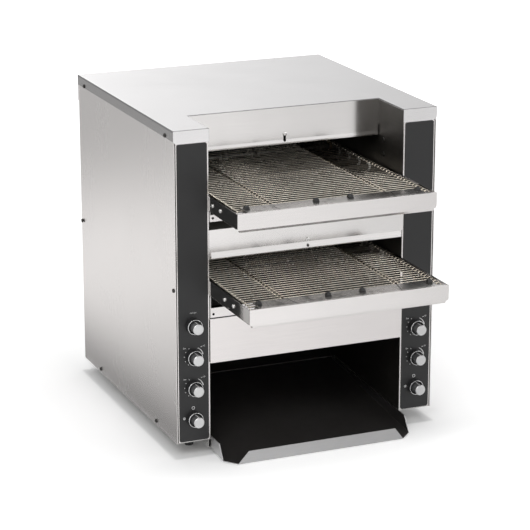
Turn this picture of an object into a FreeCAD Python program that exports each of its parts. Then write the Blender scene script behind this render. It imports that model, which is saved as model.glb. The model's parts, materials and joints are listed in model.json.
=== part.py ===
import FreeCAD, Part
import math
import os
from FreeCAD import Vector

# Two-deck conveyor toaster, millimetres.
# Pieces are drawn in a casing frame: x across from the middle, y back from the column faces,
# z up from the casing's underside. On saving they move to the row frame, whose origin is the
# bottom centre of the whole object.

# Casing
WIDTH = 500.0  # across the roof lid
DEPTH = 510.0  # column faces to the lid's rear flange
HEIGHT = 565.0  # casing underside to roof top
SHEET = 1.2  # stainless sheet of the casing
SEAM = 0.4  # gap where two sheets meet edge to edge
COLUMN_WIDTH = 64.3  # control column at each side of the bay
NOTCH_DEPTH = 102.0  # cut in the roof above the upper loading shelf
LID_SIDE_DROP = 19.0
LID_REAR_DROP = 50.0
LID_CAP_DROP = 24.0
LID_CAP_CHAMFER = 5.0
LID_NOTCH_DROP = 3.0  # hem along the notch's sides
LID_BEND = 1.0  # outer radius of the roof's folds
GROOVE = 1.6  # open groove between a side panel and its column
EDGE_STRIP = 1.6  # column's bare strip beside the groove
FLANGE = 15.0  # hidden flanges that the screws pull on
COLUMN_FLANGE = 25.0
WALL_TAIL = 9.0  # inner wall behind the chute
OVERRUN = 2.0  # how far every cutter runs past the face it cuts
PARALLEL_SHARE = 0.99  # of an edge's length, seen along the direction it follows

# Feet
FOOT_HEIGHT = 27.5
FOOT_TOP_RADIUS = 10.0
FOOT_BOTTOM_RADIUS = 8.0
FOOT_INSET_X = 46.0
FOOT_FRONT_Y = 60.0
FOOT_REAR_INSET = 48.0

# Control plates and knobs
PLATE_EDGE = 2.8  # bare column beside the plate, on the bay side
PLATE_BOTTOM = 2.0
PLATE_CORNER = 4.0
KNOB_BASE_Z = 43.6
KNOB_PITCH = 57.3
LEFT_KNOB_COUNT = 4
RIGHT_KNOB_COUNT = 3
KNOB_RADIUS = 10.0
KNOB_REACH = 25.0  # column face to knob face
KNOB_EDGE = 1.0
KNOB_GAP = 0.4  # knob to bezel
POINTER_WIDTH = 1.6
POINTER_DEEP = 0.9
BEZEL_RADIUS = 12.5
BEZEL_THICK = 3.0
BEZEL_EDGE = 1.0
STEM_RADIUS = 3.0
STEM_CLEARANCE = 0.06
BUSH_RADIUS = 4.8
SWITCH_SIZE = 24.0
SWITCH_DEEP = 18.0

# Conveyors: the belts are wire links that hook into each other at one pitch
LINK_PITCH = 11.65
NOSE_LINKS = 8  # links round one whole sprocket
WIRE = 2.0
BELT_SIDE_GAP = 5.7  # belt edge to the bay wall
EDGE_LINK = 3.0  # width of the hooked wire ends at each edge
JOINT_SHARE = 0.594  # of the half width, where neighbouring links hook together
UPPER_TOP_DROP = 120.0  # roof to the upper belt
DECK_PITCH = 152.0  # upper belt to lower belt
UPPER_REACH = 130.6  # column faces to the face of the upper guard
LOWER_REACH = 183.0
UPPER_FALL = 110.0  # least room from the rear shaft to the chute
LOWER_FALL = 130.0
IDLER_BACK = 24.4  # guard face to the front shaft

# Side rails, guards and brackets
RAIL_SHEET = 1.2
RAIL_DROP = 26.0
RAIL_TAIL = 60.0
RAIL_CORNER = 4.0
GUARD_DROP = 32.0
GUARD_RISE = 1.0  # guard top over the belt
GUARD_LIP = 10.0
GUARD_HEM_RISE = 4.5  # slanting fold between the face and its lower lip
GUARD_HEM_BACK = 2.5
GUARD_TOP_LIP = 3.4
GUARD_CORNER = 5.0
BRACKET_TAIL = 30.0
UPPER_CROSS_DROP = 46.0  # belt's top to the lower edge of the cross plate
UPPER_CROSS_TALL = 12.4
LOWER_CROSS_TALL = 18.0
CROSS_GAP = 1.0  # cross plate over the hood
BRACKET_HOLE_RADIUS = 2.2
BRACKET_HOLE_INSET = 7.2
BRACKET_HOLE_RISE = 6.5
APRON_SHEET = 0.8
APRON_GAP = 0.4  # apron over the wires
APRON_SIDE_GAP = 19.7  # apron end to the bay wall
APRON_DEEP = 34.0
APRON_LIP = 4.0
SHOE_INNER_X = 32.0
SHOE_END_GAP = 6.0  # outer shoe's middle to the apron's end
SHOE_WIDTH = 9.0
SHOE_DEEP = 9.0
SHOE_HEIGHT = 3.2
SHOE_TAPER = 1.5

# Shafts, sprockets, bushings and drives
IDLER_RADIUS = 5.0
DRIVE_RADIUS = 6.0
SHAFT_CLEARANCE = 0.05
SPROCKET_GAP = 0.3  # sprocket rim to the belt's inner face
SPROCKET_THICK = 6.0
SPROCKET_NOTCH = 1.3
BUSHING_WALL = 4.0
BUSHING_LENGTH = 3.7
BUSHING_LEAD = 2.0
BUSHING_TAIL = 4.0
CHAIN_PITCH = 6.35
CHAIN_HALF_HEIGHT = 2.9
CHAIN_PLATE = 0.8
CHAIN_TOOTH = 1.6  # tooth above and below the pitch circle
CHAIN_SPROCKET_THICK = 2.8
CHAIN_SIDE_GAP = 0.2
CHAIN_OFFSET = 9.0  # wall's outer face to the chain's middle
DRIVE_TEETH = 18
MOTOR_TEETH = 10
MOTOR_DROP = 90.0
GEARBOX_OFFSET = 16.0
GEARBOX_THICK = 24.0
GEARBOX_DEEP = 66.0
GEARBOX_TALL = 60.0
MOTOR_CAN_RADIUS = 24.0
MOTOR_CAN_GAP = 2.7  # motor can to the side panel
POST_RADIUS = 3.0
POST_INSET = 5.0
MOTOR_SHAFT_RADIUS = 4.0
MOTOR_SHAFT_LENGTH = 22.0

# Heating elements and shields
ELEMENT_RADIUS = 4.0
ELEMENT_PITCH = 44.0
UPPER_FIRST_BACK = 38.0  # first rods behind the upper header
LOWER_FIRST_BACK = 20.0  # first rods behind the rails' ends
ELEMENT_SHAFT_GAP = 36.0  # last rods to the rear shaft
UPPER_ELEMENT_RISE = 77.0  # over the belt, above the food
LOWER_ELEMENT_RISE = 59.0
ELEMENT_TAIL = 10.0
INSULATOR_RADIUS = 7.0
INSULATOR_LEAD = 3.0
INSULATOR_TAIL = 8.0
FIT_GAP = 0.1
REFLECTOR_RISE = 18.0  # over the upper elements
REFLECTOR_EDGE = 8.0
DIVIDER_FALL = 100.0  # divider's rear edge to the chute

# Headers and sliding doors
UPPER_HEADER_RISE = 55.0  # header's bottom edge over the belt
UPPER_DOOR_RISE = 52.0
UPPER_FOLD_RISE = 5.5
UPPER_KICK = 1.4
UPPER_CLAMP_GAP = 6.3  # fold to the clamp screw's head
LOWER_HEADER_HEIGHT = 50.6
LOWER_HEADER_RISE = 41.0
LOWER_DOOR_RISE = 38.4
LOWER_FOLD_RISE = 10.0
LOWER_KICK = 3.2
LOWER_CLAMP_GAP = 0.4
SPARE_HOLE_RISE = 3.5
SPARE_HOLE_RADIUS = 2.6
DOOR_GAP = 0.5
DOOR_SIDE_GAP = 0.8
DOOR_HEIGHT = 38.0
DOOR_TRAVEL = 10.0
SLOT_WIDTH = 5.0
SLOT_DROP = 11.5  # clamp screw to the slot's lower end
END_NOTCH = 3.2  # cut out of a header's lower corners
UPPER_NOTCH_TALL = 18.0
LOWER_NOTCH_TALL = 10.0

# Discharge hood, chute and catch tray
HOOD_DROP = 68.6  # lower belt to the hood's top edge
HOOD_HEIGHT = 81.3
HOOD_PROUD = 2.5
HOOD_TOP_FLANGE = 12.0
PLENUM_DEPTH = 80.0  # chute to the rear flange
CHUTE_RADIUS = 150.0
CHUTE_GAP = 1.6  # chute lip over the tray floor's line
TRAY_SHEET = 1.0
TRAY_SIDE_GAP = 3.7
TRAY_FRONT_Y = -49.6
TRAY_FRONT_Z = -24.5
TRAY_SLOPE_SHARE = 0.103  # rise of the floor over its run
TRAY_REAR_GAP = 4.4  # tray's rear edge to the chute's lip
TRAY_WALL_SETBACK = 18.6
TRAY_WALL_FRONT_TOP = 2.7
TRAY_WALL_REAR_RISE = 3.0
LIP_INSET_BOTTOM = 21.0  # lip's lower corners inside the tray walls
LIP_INSET_TOP = 40.0
LIP_FORWARD = 18.9  # lip in front of the walls' ends
LIP_LEAN = 4.1
LIP_HEIGHT = 23.8
RUNNER_WIDTH = 9.0
RUNNER_GAP = 0.3
RUNNER_FRONT_Y = 12.0
RUNNER_REAR_INSET = 14.0
RUNNER_RISE = 8.0
BASE_LIP_GAP = 4.6  # chute's lip to the base's edge

# Rear panel, fan, terminal block and cord gland
FAN_INSET = 140.0  # fan's middle from the casing's side
FAN_Z = 150.0
FAN_SIZE = 92.0
FAN_DEEP = 25.0
FAN_BORE = 43.0
FAN_STRUT = 4.0
FAN_HUB = 17.5
FAN_TIP_GAP = 1.5
FAN_BLADES = 7
FAN_BLADE_THICK = 1.6
FAN_BLADE_CHORD = 15.0
FAN_BLADE_TILT = 35.0  # degrees
FAN_PIN = 2.0
FAN_FACE_GAP = 0.8
VENT_RADIUS = 3.0
VENT_RINGS = 5
VENT_FIRST_COUNT = 6  # holes of the inner ring, and more in each ring outside it
VENT_REACH_SHARE = 0.909  # outer ring's radius over the fan's bore
LOUVRE_ROWS = 9
LOUVRE_PITCH = 14.0
LOUVRE_WIDTH = 70.0
LOUVRE_SLOT = 4.0
LOUVRE_HOOD = 3.0
LOUVRE_GAP = 40.0  # between columns of louvres
LOUVRE_DROP = 235.0  # roof to the lowest louvre
GLAND_INSET = 65.0
GLAND_Z = 60.0
GLAND_FLANGE_RADIUS = 15.0
GLAND_FLANGE = 4.0
GLAND_RADIUS = 11.0
GLAND_TIP_RADIUS = 8.0
GLAND_BORE = 5.0
GLAND_REACH = 20.0  # past the lid's rear flange
GLAND_NUT = 6.0
BLOCK_X = 60.0
BLOCK_WIDTH = 72.0
BLOCK_TALL = 26.0
BLOCK_DEEP = 22.0
BLOCK_POLES = 6
BLOCK_POLE_GAP = 3.0

# Pan-head screws
HEAD_RADIUS = 3.7
HEAD_HEIGHT = 2.2
HEAD_SHARE = 0.45  # height of the domed part
SHANK_RADIUS = 2.0
SHANK_GAP = 0.15
SHANK_LENGTH = 7.0
RAIL_SHANK = 2.9
SOCKET_RADIUS = 1.3
SOCKET_DEEP = 1.0
LOW_SCREW_Z = 7.4  # in the base pan's flanges
SIDE_SCREW_FRONT_Y = 106.0
SIDE_SCREW_REAR_INSET = 98.0
EDGE_SCREW_Y = 9.0
EDGE_SCREW_SHARE = 0.497  # of the casing's height
LID_SCREW_DROP = 15.5
LID_SCREW_FRONT_Y = 40.0
LID_SCREW_REAR_INSET = 38.0
REAR_SCREW_INSET = 50.0
REAR_SCREW_DROP = 30.0
UPPER_RAIL_SCREW_Y = -16.0
UPPER_RAIL_SCREW_PITCH = 36.0
LOWER_RAIL_SCREW_Y = -70.0
LOWER_RAIL_SCREW_PITCH = 40.0
RAIL_SCREW_DROP = 13.0
WALL_SCREW_INSET = 22.0  # from the notch's rear edge
WALL_SCREW_RISE = 21.0  # lower screw over the belt
WALL_SCREW_PITCH = 27.0

# Worked out from the sizes above
HALF = WIDTH / 2
BAY = HALF - COLUMN_WIDTH
WALL_OUT = BAY + SHEET
PANEL_IN = HALF - 2 * SHEET
REAR_IN = DEPTH - 2 * SHEET
ROOF_IN = HEIGHT - SHEET
CAP_Z = HEIGHT - LID_CAP_DROP
COLUMN_OUT = PANEL_IN - GROOVE
PLATE_OUT = COLUMN_OUT - EDGE_STRIP - SEAM
KNOB_X = (BAY + PLATE_EDGE + PLATE_OUT) / 2
CHUTE_Y = DEPTH - PLENUM_DEPTH
WALL_REAR = CHUTE_Y + SHEET + WALL_TAIL

BELT_HALF = BAY - BELT_SIDE_GAP
JOINT_X = BELT_HALF * JOINT_SHARE
UPPER_TOP = HEIGHT - UPPER_TOP_DROP
LOWER_TOP = UPPER_TOP - DECK_PITCH
LINK_RADIUS = LINK_PITCH * NOSE_LINKS / (2 * math.pi)
UPPER_AXIS_Z = UPPER_TOP - WIRE / 2 - LINK_RADIUS
LOWER_AXIS_Z = LOWER_TOP - WIRE / 2 - LINK_RADIUS
UPPER_IDLER_Y = IDLER_BACK - UPPER_REACH
LOWER_IDLER_Y = IDLER_BACK - LOWER_REACH
UPPER_LINKS = int((CHUTE_Y - UPPER_FALL - UPPER_IDLER_Y) / LINK_PITCH)
LOWER_LINKS = int((CHUTE_Y - LOWER_FALL - LOWER_IDLER_Y) / LINK_PITCH)
UPPER_DRIVE_Y = UPPER_IDLER_Y + UPPER_LINKS * LINK_PITCH
LOWER_DRIVE_Y = LOWER_IDLER_Y + LOWER_LINKS * LINK_PITCH
SPROCKET_RADIUS = LINK_RADIUS - WIRE / 2 - SPROCKET_GAP
APRON_HALF = BAY - APRON_SIDE_GAP
WHEEL_X = (SHOE_INNER_X, APRON_HALF - SHOE_END_GAP)
RAIL_IN = BAY - RAIL_SHEET
BRACKET_IN = RAIL_IN - SHEET

DRIVE_PITCH_RADIUS = CHAIN_PITCH / (2 * math.sin(math.pi / DRIVE_TEETH))
MOTOR_PITCH_RADIUS = CHAIN_PITCH / (2 * math.sin(math.pi / MOTOR_TEETH))
MOTOR_CAN_LENGTH = PANEL_IN - MOTOR_CAN_GAP - WALL_OUT - GEARBOX_OFFSET - GEARBOX_THICK

UPPER_FIRST_Y = NOTCH_DEPTH + UPPER_FIRST_BACK
LOWER_FIRST_Y = RAIL_TAIL + LOWER_FIRST_BACK
UPPER_ELEMENTS = 1 + int((UPPER_DRIVE_Y - ELEMENT_SHAFT_GAP - UPPER_FIRST_Y) / ELEMENT_PITCH)
LOWER_ELEMENTS = 1 + int((LOWER_DRIVE_Y - ELEMENT_SHAFT_GAP - LOWER_FIRST_Y) / ELEMENT_PITCH)
REFLECTOR_Z = UPPER_TOP + UPPER_ELEMENT_RISE + REFLECTOR_RISE
DIVIDER_BACK_Y = CHUTE_Y - DIVIDER_FALL

UPPER_HEADER_BOTTOM = UPPER_TOP + UPPER_HEADER_RISE
UPPER_CLAMP_Z = UPPER_HEADER_BOTTOM + UPPER_FOLD_RISE + UPPER_CLAMP_GAP + HEAD_RADIUS
LOWER_HEADER_BOTTOM = LOWER_TOP + LOWER_HEADER_RISE
LOWER_HEADER_TOP = LOWER_HEADER_BOTTOM + LOWER_HEADER_HEIGHT
LOWER_CLAMP_Z = LOWER_HEADER_BOTTOM + LOWER_FOLD_RISE + LOWER_CLAMP_GAP + HEAD_RADIUS
HOOD_TOP = LOWER_TOP - HOOD_DROP
HOOD_BOTTOM = HOOD_TOP - HOOD_HEIGHT
HOOD_BACK_Y = CHUTE_Y - LOWER_FALL

TRAY_HALF = BAY - TRAY_SIDE_GAP
TRAY_ANGLE = math.atan(TRAY_SLOPE_SHARE)
CHUTE_END_Y = CHUTE_Y - CHUTE_RADIUS + CHUTE_RADIUS * math.sin(TRAY_ANGLE)
TRAY_REAR_Y = CHUTE_END_Y - TRAY_REAR_GAP
BASE_BAY_DEPTH = CHUTE_END_Y + BASE_LIP_GAP
LIP_Y = TRAY_FRONT_Y - LIP_FORWARD
LIP_HALF_BOTTOM = TRAY_HALF - LIP_INSET_BOTTOM
LIP_HALF_TOP = TRAY_HALF - LIP_INSET_TOP

FAN_X = FAN_INSET - HALF
GLAND_X = HALF - GLAND_INSET
LOUVRE_X = tuple(step * (LOUVRE_WIDTH + LOUVRE_GAP) for step in (-1, 0, 1))
LOUVRE_Z = HEIGHT - LOUVRE_DROP

SIDE_SCREWS = (
    (DEPTH - SIDE_SCREW_REAR_INSET, LOW_SCREW_Z),
    (SIDE_SCREW_FRONT_Y, LOW_SCREW_Z),
    (EDGE_SCREW_Y, HEIGHT * EDGE_SCREW_SHARE),
)
LID_SCREWS = (
    (DEPTH - LID_SCREW_REAR_INSET, HEIGHT - LID_SCREW_DROP),
    (LID_SCREW_FRONT_Y, HEIGHT - LID_SCREW_DROP),
)
REAR_SCREW_X = tuple(step * (HALF - REAR_SCREW_INSET) for step in (-1, 0, 1))
UPPER_RAIL_SCREWS = (UPPER_RAIL_SCREW_Y, UPPER_RAIL_SCREW_Y - UPPER_RAIL_SCREW_PITCH)
LOWER_RAIL_SCREWS = (LOWER_RAIL_SCREW_Y, LOWER_RAIL_SCREW_Y - LOWER_RAIL_SCREW_PITCH)
WALL_SCREWS = (
    (NOTCH_DEPTH - WALL_SCREW_INSET, UPPER_TOP + WALL_SCREW_RISE),
    (NOTCH_DEPTH - WALL_SCREW_INSET, UPPER_TOP + WALL_SCREW_RISE + WALL_SCREW_PITCH),
)
ROW_SHIFT = Vector(0, (LOWER_REACH - DEPTH - GLAND_REACH) / 2, FOOT_HEIGHT)

os.makedirs("parts", exist_ok=True)


# Helpers
def save(node, *solids):
    """Move one node's solids to the row frame and write them."""
    moved = [solid.translated(ROW_SHIFT) for solid in solids]
    shape = moved[0] if len(moved) == 1 else Part.makeCompound(moved)
    assert shape.isValid(), node
    shape.exportStep(f"parts/{node}.step")
    print(node, len(solids))


def box(x0, x1, y0, y1, z0, z1):
    """A box from its lowest to its highest corner, given in any order."""
    low = Vector(min(x0, x1), min(y0, y1), min(z0, z1))
    return Part.makeBox(abs(x1 - x0), abs(y1 - y0), abs(z1 - z0), low)


def rod(radius, start, end):
    """A round bar between two points."""
    axis = end - start
    return Part.makeCylinder(radius, axis.Length, start, axis)


def rod_x(radius, x0, x1, y, z):
    return rod(radius, Vector(x0, y, z), Vector(x1, y, z))


def rod_y(radius, y0, y1, x, z):
    return rod(radius, Vector(x, y0, z), Vector(x, y1, z))


def joined(first, *others):
    """One solid from pieces that touch or overlap."""
    return first.multiFuse(list(others)).removeSplitter()


def less(shape, cutters):
    """The shape with every cutter taken away."""
    return shape.cut(Part.makeCompound(list(cutters)))


def mirrored(shape):
    """The same piece on the other side of the toaster."""
    return shape.mirror(Vector(0, 0, 0), Vector(1, 0, 0))


def prism_x(outline, x0, x1):
    """An outline of (y, z) points drawn out along x."""
    points = [Vector(x0, y, z) for y, z in outline]
    face = Part.Face(Part.makePolygon(points + points[:1]))
    return face.extrude(Vector(x1 - x0, 0, 0))


def folded(path, sheet, x0, x1):
    """A sheet folded along a (y, z) path, its thickness on the path's left."""
    offset = []
    for index, (y, z) in enumerate(path):
        before = path[max(index - 1, 0)]
        after = path[min(index + 1, len(path) - 1)]
        normals = []
        for (ya, za), (yb, zb) in ((before, (y, z)), ((y, z), after)):
            length = math.hypot(yb - ya, zb - za)
            if length:
                normals.append((-(zb - za) / length, (yb - ya) / length))
        ny = sum(n[0] for n in normals) / len(normals)
        nz = sum(n[1] for n in normals) / len(normals)
        scale = sheet / (ny * ny + nz * nz)
        offset.append((y + ny * scale, z + nz * scale))
    return prism_x(list(path) + offset[::-1], x0, x1)


def rounded_plate(x0, x1, y0, y1, z0, z1, radius, edges):
    """A flat plate with chosen corner edges rounded; edges is a test on a point."""
    plate = box(x0, x1, y0, y1, z0, z1)
    chosen = [edge for edge in plate.Edges if edges(edge)]
    return plate.makeFillet(radius, chosen)


def runs_along(edge, direction):
    """True where a straight edge lies along a direction."""
    span = edge.Vertexes[-1].Point - edge.Vertexes[0].Point
    return abs(span.dot(direction)) > span.Length * PARALLEL_SHARE


def round_edges(shape):
    """The circular edges of a turned shape."""
    return [edge for edge in shape.Edges if isinstance(edge.Curve, Part.Circle)]


def both_sides(solid):
    """A left and a right copy of a piece drawn on the right."""
    return [mirrored(solid), solid]


# Screws: every screw is drawn here and its holes are cut in the sheets it holds
screws = []
shank_holes = []


def add_screw(seat, outward, shank=SHANK_LENGTH):
    """A pan-head screw whose head sits on seat, facing outward."""
    head = Part.makeCylinder(HEAD_RADIUS, HEAD_HEIGHT, seat, outward)
    top = [e for e in round_edges(head) if (e.CenterOfMass - seat).dot(outward) > HEAD_HEIGHT / 2]
    head = head.makeFillet(HEAD_HEIGHT * HEAD_SHARE, top)
    floor = seat + outward * (HEAD_HEIGHT - SOCKET_DEEP)
    socket = Part.makeCylinder(SOCKET_RADIUS, OVERRUN, floor, outward)
    body = joined(head.cut(socket), Part.makeCylinder(SHANK_RADIUS, shank, seat, outward * -1))
    screws.append(body)
    start = seat + outward * OVERRUN
    length = shank + 2 * OVERRUN
    shank_holes.append(Part.makeCylinder(SHANK_RADIUS + SHANK_GAP, length, start, outward * -1))


RIGHT = Vector(1, 0, 0)
BACK = Vector(0, 1, 0)
for side in (-1, 1):
    for y, z in SIDE_SCREWS:
        add_screw(Vector(side * (HALF - SHEET), y, z), RIGHT * side)
    for y, z in LID_SCREWS:
        add_screw(Vector(side * HALF, y, z), RIGHT * side)
    for y in UPPER_RAIL_SCREWS:
        add_screw(Vector(side * BAY, y, UPPER_TOP - RAIL_SCREW_DROP), RIGHT * side, RAIL_SHANK)
    for y in LOWER_RAIL_SCREWS:
        add_screw(Vector(side * BAY, y, LOWER_TOP - RAIL_SCREW_DROP), RIGHT * side, RAIL_SHANK)
    for y, z in WALL_SCREWS:
        add_screw(Vector(side * BAY, y, z), RIGHT * -side, SHANK_LENGTH)
for x in REAR_SCREW_X:
    add_screw(Vector(x, DEPTH, HEIGHT - REAR_SCREW_DROP), BACK)
    add_screw(Vector(x, DEPTH - SHEET, LOW_SCREW_Z), BACK)
add_screw(Vector(0, NOTCH_DEPTH, UPPER_CLAMP_Z), BACK * -1)
add_screw(Vector(0, 0, LOWER_CLAMP_Z), BACK * -1)
save("pan_head_screws", *screws)


# Casing
def roof_lid():
    """Roof sheet with its notch, side and rear flanges and the two column caps."""
    top = box(-HALF, HALF, 0, DEPTH, ROOF_IN, HEIGHT)
    notch = box(-BAY, BAY, -OVERRUN, NOTCH_DEPTH, ROOF_IN - OVERRUN, HEIGHT + OVERRUN)
    rear = box(-HALF, HALF, DEPTH - SHEET, DEPTH, HEIGHT - LID_REAR_DROP, HEIGHT)
    pieces = [rear]
    low = HEIGHT - LID_SIDE_DROP
    hem = HEIGHT - LID_NOTCH_DROP
    for side in (-1, 1):
        pieces.append(box(side * HALF, side * (HALF - SHEET), 0, DEPTH, low, HEIGHT))
        pieces.append(box(side * BAY, side * (BAY - SHEET), 0, NOTCH_DEPTH, hem, HEIGHT))
        cap = box(side * (BAY - SHEET), side * HALF, 0, SHEET, CAP_Z, HEIGHT)
        lower = [e for e in cap.Edges if runs_along(e, BACK) and e.CenterOfMass.z < low]
        corner = [e for e in lower if abs(e.CenterOfMass.x) > BAY]
        pieces.append(cap.makeChamfer(LID_CAP_CHAMFER, corner))
    lid = joined(top.cut(notch), *pieces)

    highest = [e for e in lid.Edges if e.CenterOfMass.z > HEIGHT - SHEET / 2]
    folds = [e for e in highest if runs_along(e, RIGHT) or runs_along(e, BACK)]
    return less(lid.makeFillet(LID_BEND, folds), shank_holes)


def side_panel():
    """Right side skin, cut short under the lid's cap."""
    skin = box(PANEL_IN, HALF - SHEET, 0, DEPTH - SHEET, 0, ROOF_IN)
    above = box(PANEL_IN - OVERRUN, HALF + OVERRUN, -OVERRUN, SHEET, CAP_Z - SEAM, HEIGHT)
    return skin.cut(above)


def column():
    """Right column: its front plate with a bare outer strip, and the flanges behind it."""
    face = box(BAY, COLUMN_OUT, SHEET, 2 * SHEET, SHEET, ROOF_IN)
    strip = box(COLUMN_OUT - EDGE_STRIP, COLUMN_OUT, 0, SHEET, SHEET, CAP_Z - SEAM)
    inner = box(WALL_OUT, WALL_OUT + SHEET, 2 * SHEET, 2 * SHEET + COLUMN_FLANGE, SHEET, ROOF_IN)
    outer = box(COLUMN_OUT - SHEET, COLUMN_OUT, 2 * SHEET, 2 * SHEET + COLUMN_FLANGE, SHEET, ROOF_IN)
    return joined(face, strip, inner, outer)


def control_plate():
    """Right black control plate, set flush in the column."""
    x0 = BAY + PLATE_EDGE
    top = CAP_Z - SEAM

    def upright_corner(edge):
        return runs_along(edge, BACK)

    return rounded_plate(x0, PLATE_OUT, 0, SHEET, PLATE_BOTTOM, top, PLATE_CORNER, upright_corner)


def knob_heights(count):
    return [KNOB_BASE_Z + KNOB_PITCH * index for index in range(count)]


def bush_holes(count):
    """Holes for the control bushes in a plate and its column."""
    radius = BUSH_RADIUS + FIT_GAP
    return [rod_y(radius, -OVERRUN, 2 * SHEET + OVERRUN, KNOB_X, z) for z in knob_heights(count)]


def element_places():
    """The (y, z) of every heating rod: over and inside each belt."""
    places = []
    for index in range(UPPER_ELEMENTS):
        y = UPPER_FIRST_Y + index * ELEMENT_PITCH
        places += [(y, UPPER_TOP + UPPER_ELEMENT_RISE), (y, UPPER_AXIS_Z)]
    for index in range(LOWER_ELEMENTS):
        y = LOWER_FIRST_Y + index * ELEMENT_PITCH
        places += [(y, LOWER_TOP + LOWER_ELEMENT_RISE), (y, LOWER_AXIS_Z)]
    return places


def inner_wall():
    """Right wall of the bay, with holes for the rods and the driven shafts."""
    wall = box(BAY, WALL_OUT, 2 * SHEET, WALL_REAR, SHEET, ROOF_IN)
    near = BAY - OVERRUN
    far = WALL_OUT + OVERRUN
    holes = [rod_x(INSULATOR_RADIUS + FIT_GAP, near, far, y, z) for y, z in element_places()]
    radius = DRIVE_RADIUS + BUSHING_WALL + FIT_GAP
    for y, z in ((UPPER_DRIVE_Y, UPPER_AXIS_Z), (LOWER_DRIVE_Y, LOWER_AXIS_Z)):
        holes.append(rod_x(radius, near, far, y, z))
    return less(wall, holes)


def tray_line(y):
    """Height of the catch tray's floor at y."""
    return TRAY_FRONT_Z + (y - TRAY_FRONT_Y) * TRAY_SLOPE_SHARE


def base_pan():
    """Bottom sheet, open where the tray slides, with flanges and the two tray runners."""
    floor = box(-PANEL_IN, PANEL_IN, SHEET, REAR_IN, 0, SHEET)
    floor = floor.cut(box(-BAY, BAY, -OVERRUN, BASE_BAY_DEPTH, -OVERRUN, SHEET + OVERRUN))
    start = 2 * SHEET + COLUMN_FLANGE + SEAM
    pieces = []
    runner_end = BASE_BAY_DEPTH - RUNNER_REAR_INSET
    low = RUNNER_GAP + SHEET
    leg = (
        (RUNNER_FRONT_Y, tray_line(RUNNER_FRONT_Y) - low),
        (runner_end, tray_line(runner_end) - low),
        (runner_end, tray_line(runner_end) + RUNNER_RISE),
        (RUNNER_FRONT_Y, SHEET),
    )
    shelf = (
        (RUNNER_FRONT_Y, tray_line(RUNNER_FRONT_Y) - low),
        (runner_end, tray_line(runner_end) - low),
        (runner_end, tray_line(runner_end) - RUNNER_GAP),
        (RUNNER_FRONT_Y, tray_line(RUNNER_FRONT_Y) - RUNNER_GAP),
    )
    for side in (-1, 1):
        pieces.append(box(side * (PANEL_IN - SHEET), side * PANEL_IN, start, REAR_IN, SHEET, FLANGE))
        pieces.append(prism_x(leg, side * (BAY - SHEET), side * BAY))
        pieces.append(prism_x(shelf, side * (BAY - RUNNER_WIDTH), side * BAY))
    pieces.append(box(-PANEL_IN, PANEL_IN, REAR_IN - SHEET, REAR_IN, SHEET, FLANGE))
    return less(joined(floor, *pieces), shank_holes)


def vent_holes():
    """Rings of round holes in front of the fan."""
    y0 = REAR_IN - OVERRUN
    y1 = DEPTH + OVERRUN
    holes = [rod_y(VENT_RADIUS, y0, y1, FAN_X, FAN_Z)]
    step = FAN_BORE * VENT_REACH_SHARE / VENT_RINGS
    for ring in range(1, VENT_RINGS + 1):
        count = VENT_FIRST_COUNT * ring
        for index in range(count):
            turn = 2 * math.pi * index / count
            x = FAN_X + ring * step * math.cos(turn)
            z = FAN_Z + ring * step * math.sin(turn)
            holes.append(rod_y(VENT_RADIUS, y0, y1, x, z))
    return holes


def rear_panel():
    """Rear sheet with hooded louvres, fan vents and the gland hole."""
    sheet = box(-PANEL_IN, PANEL_IN, REAR_IN, DEPTH - SHEET, SHEET, ROOF_IN)
    hoods = []
    slots = []
    for x in LOUVRE_X:
        for row in range(LOUVRE_ROWS):
            z = LOUVRE_Z + row * LOUVRE_PITCH
            x0 = x - LOUVRE_WIDTH / 2
            x1 = x + LOUVRE_WIDTH / 2
            face = DEPTH - SHEET
            top = z + LOUVRE_SLOT + LOUVRE_HOOD
            outline = ((face, z), (face + LOUVRE_HOOD, z), (face + LOUVRE_HOOD, z + SHEET), (face, top))
            hoods.append(prism_x(outline, x0, x1))
            inside = (
                (REAR_IN - OVERRUN, z - SHEET),
                (face, z - SHEET),
                (face + LOUVRE_HOOD - SHEET, z - SHEET),
                (face + LOUVRE_HOOD - SHEET, z),
                (face, z + LOUVRE_SLOT),
                (REAR_IN - OVERRUN, z + LOUVRE_SLOT),
            )
            slots.append(prism_x(inside, x0 + SHEET, x1 - SHEET))
    gland = rod_y(GLAND_RADIUS + FIT_GAP, REAR_IN - OVERRUN, DEPTH, GLAND_X, GLAND_Z)
    return less(joined(sheet, *hoods), slots + vent_holes() + [gland] + shank_holes)


save("roof_lid", roof_lid())
panel = side_panel()
wall = inner_wall()
for name, turn in (("left", mirrored), ("right", lambda shape: shape)):
    knobs = LEFT_KNOB_COUNT if name == "left" else RIGHT_KNOB_COUNT
    save(f"side_panel_{name}", less(turn(panel), shank_holes))
    save(f"inner_wall_{name}", less(turn(wall), shank_holes))
    save(f"column_{name}", less(turn(less(column(), bush_holes(knobs))), shank_holes))
    save(f"control_plate_{name}", turn(less(control_plate(), bush_holes(knobs))))
save("base_pan", base_pan())
save("rear_panel", rear_panel())


# Feet
def foot(x, y):
    """A tapered rubber foot with a flat seat."""
    return Part.makeCone(FOOT_BOTTOM_RADIUS, FOOT_TOP_RADIUS, FOOT_HEIGHT, Vector(x, y, -FOOT_HEIGHT))


foot_x = HALF - FOOT_INSET_X
feet = [foot(side * foot_x, y) for side in (-1, 1) for y in (FOOT_FRONT_Y, DEPTH - FOOT_REAR_INSET)]
save("feet", *feet)


# Headers and doors
def end_notches(bottom, y, tall):
    """Notches out of a header's lower corners, where the door's edge shows."""
    y0 = y - LOWER_KICK - OVERRUN
    y1 = y + SHEET + OVERRUN
    return both_sides(box(BAY - END_NOTCH, BAY + OVERRUN, y0, y1, bottom - OVERRUN, bottom + tall))


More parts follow.
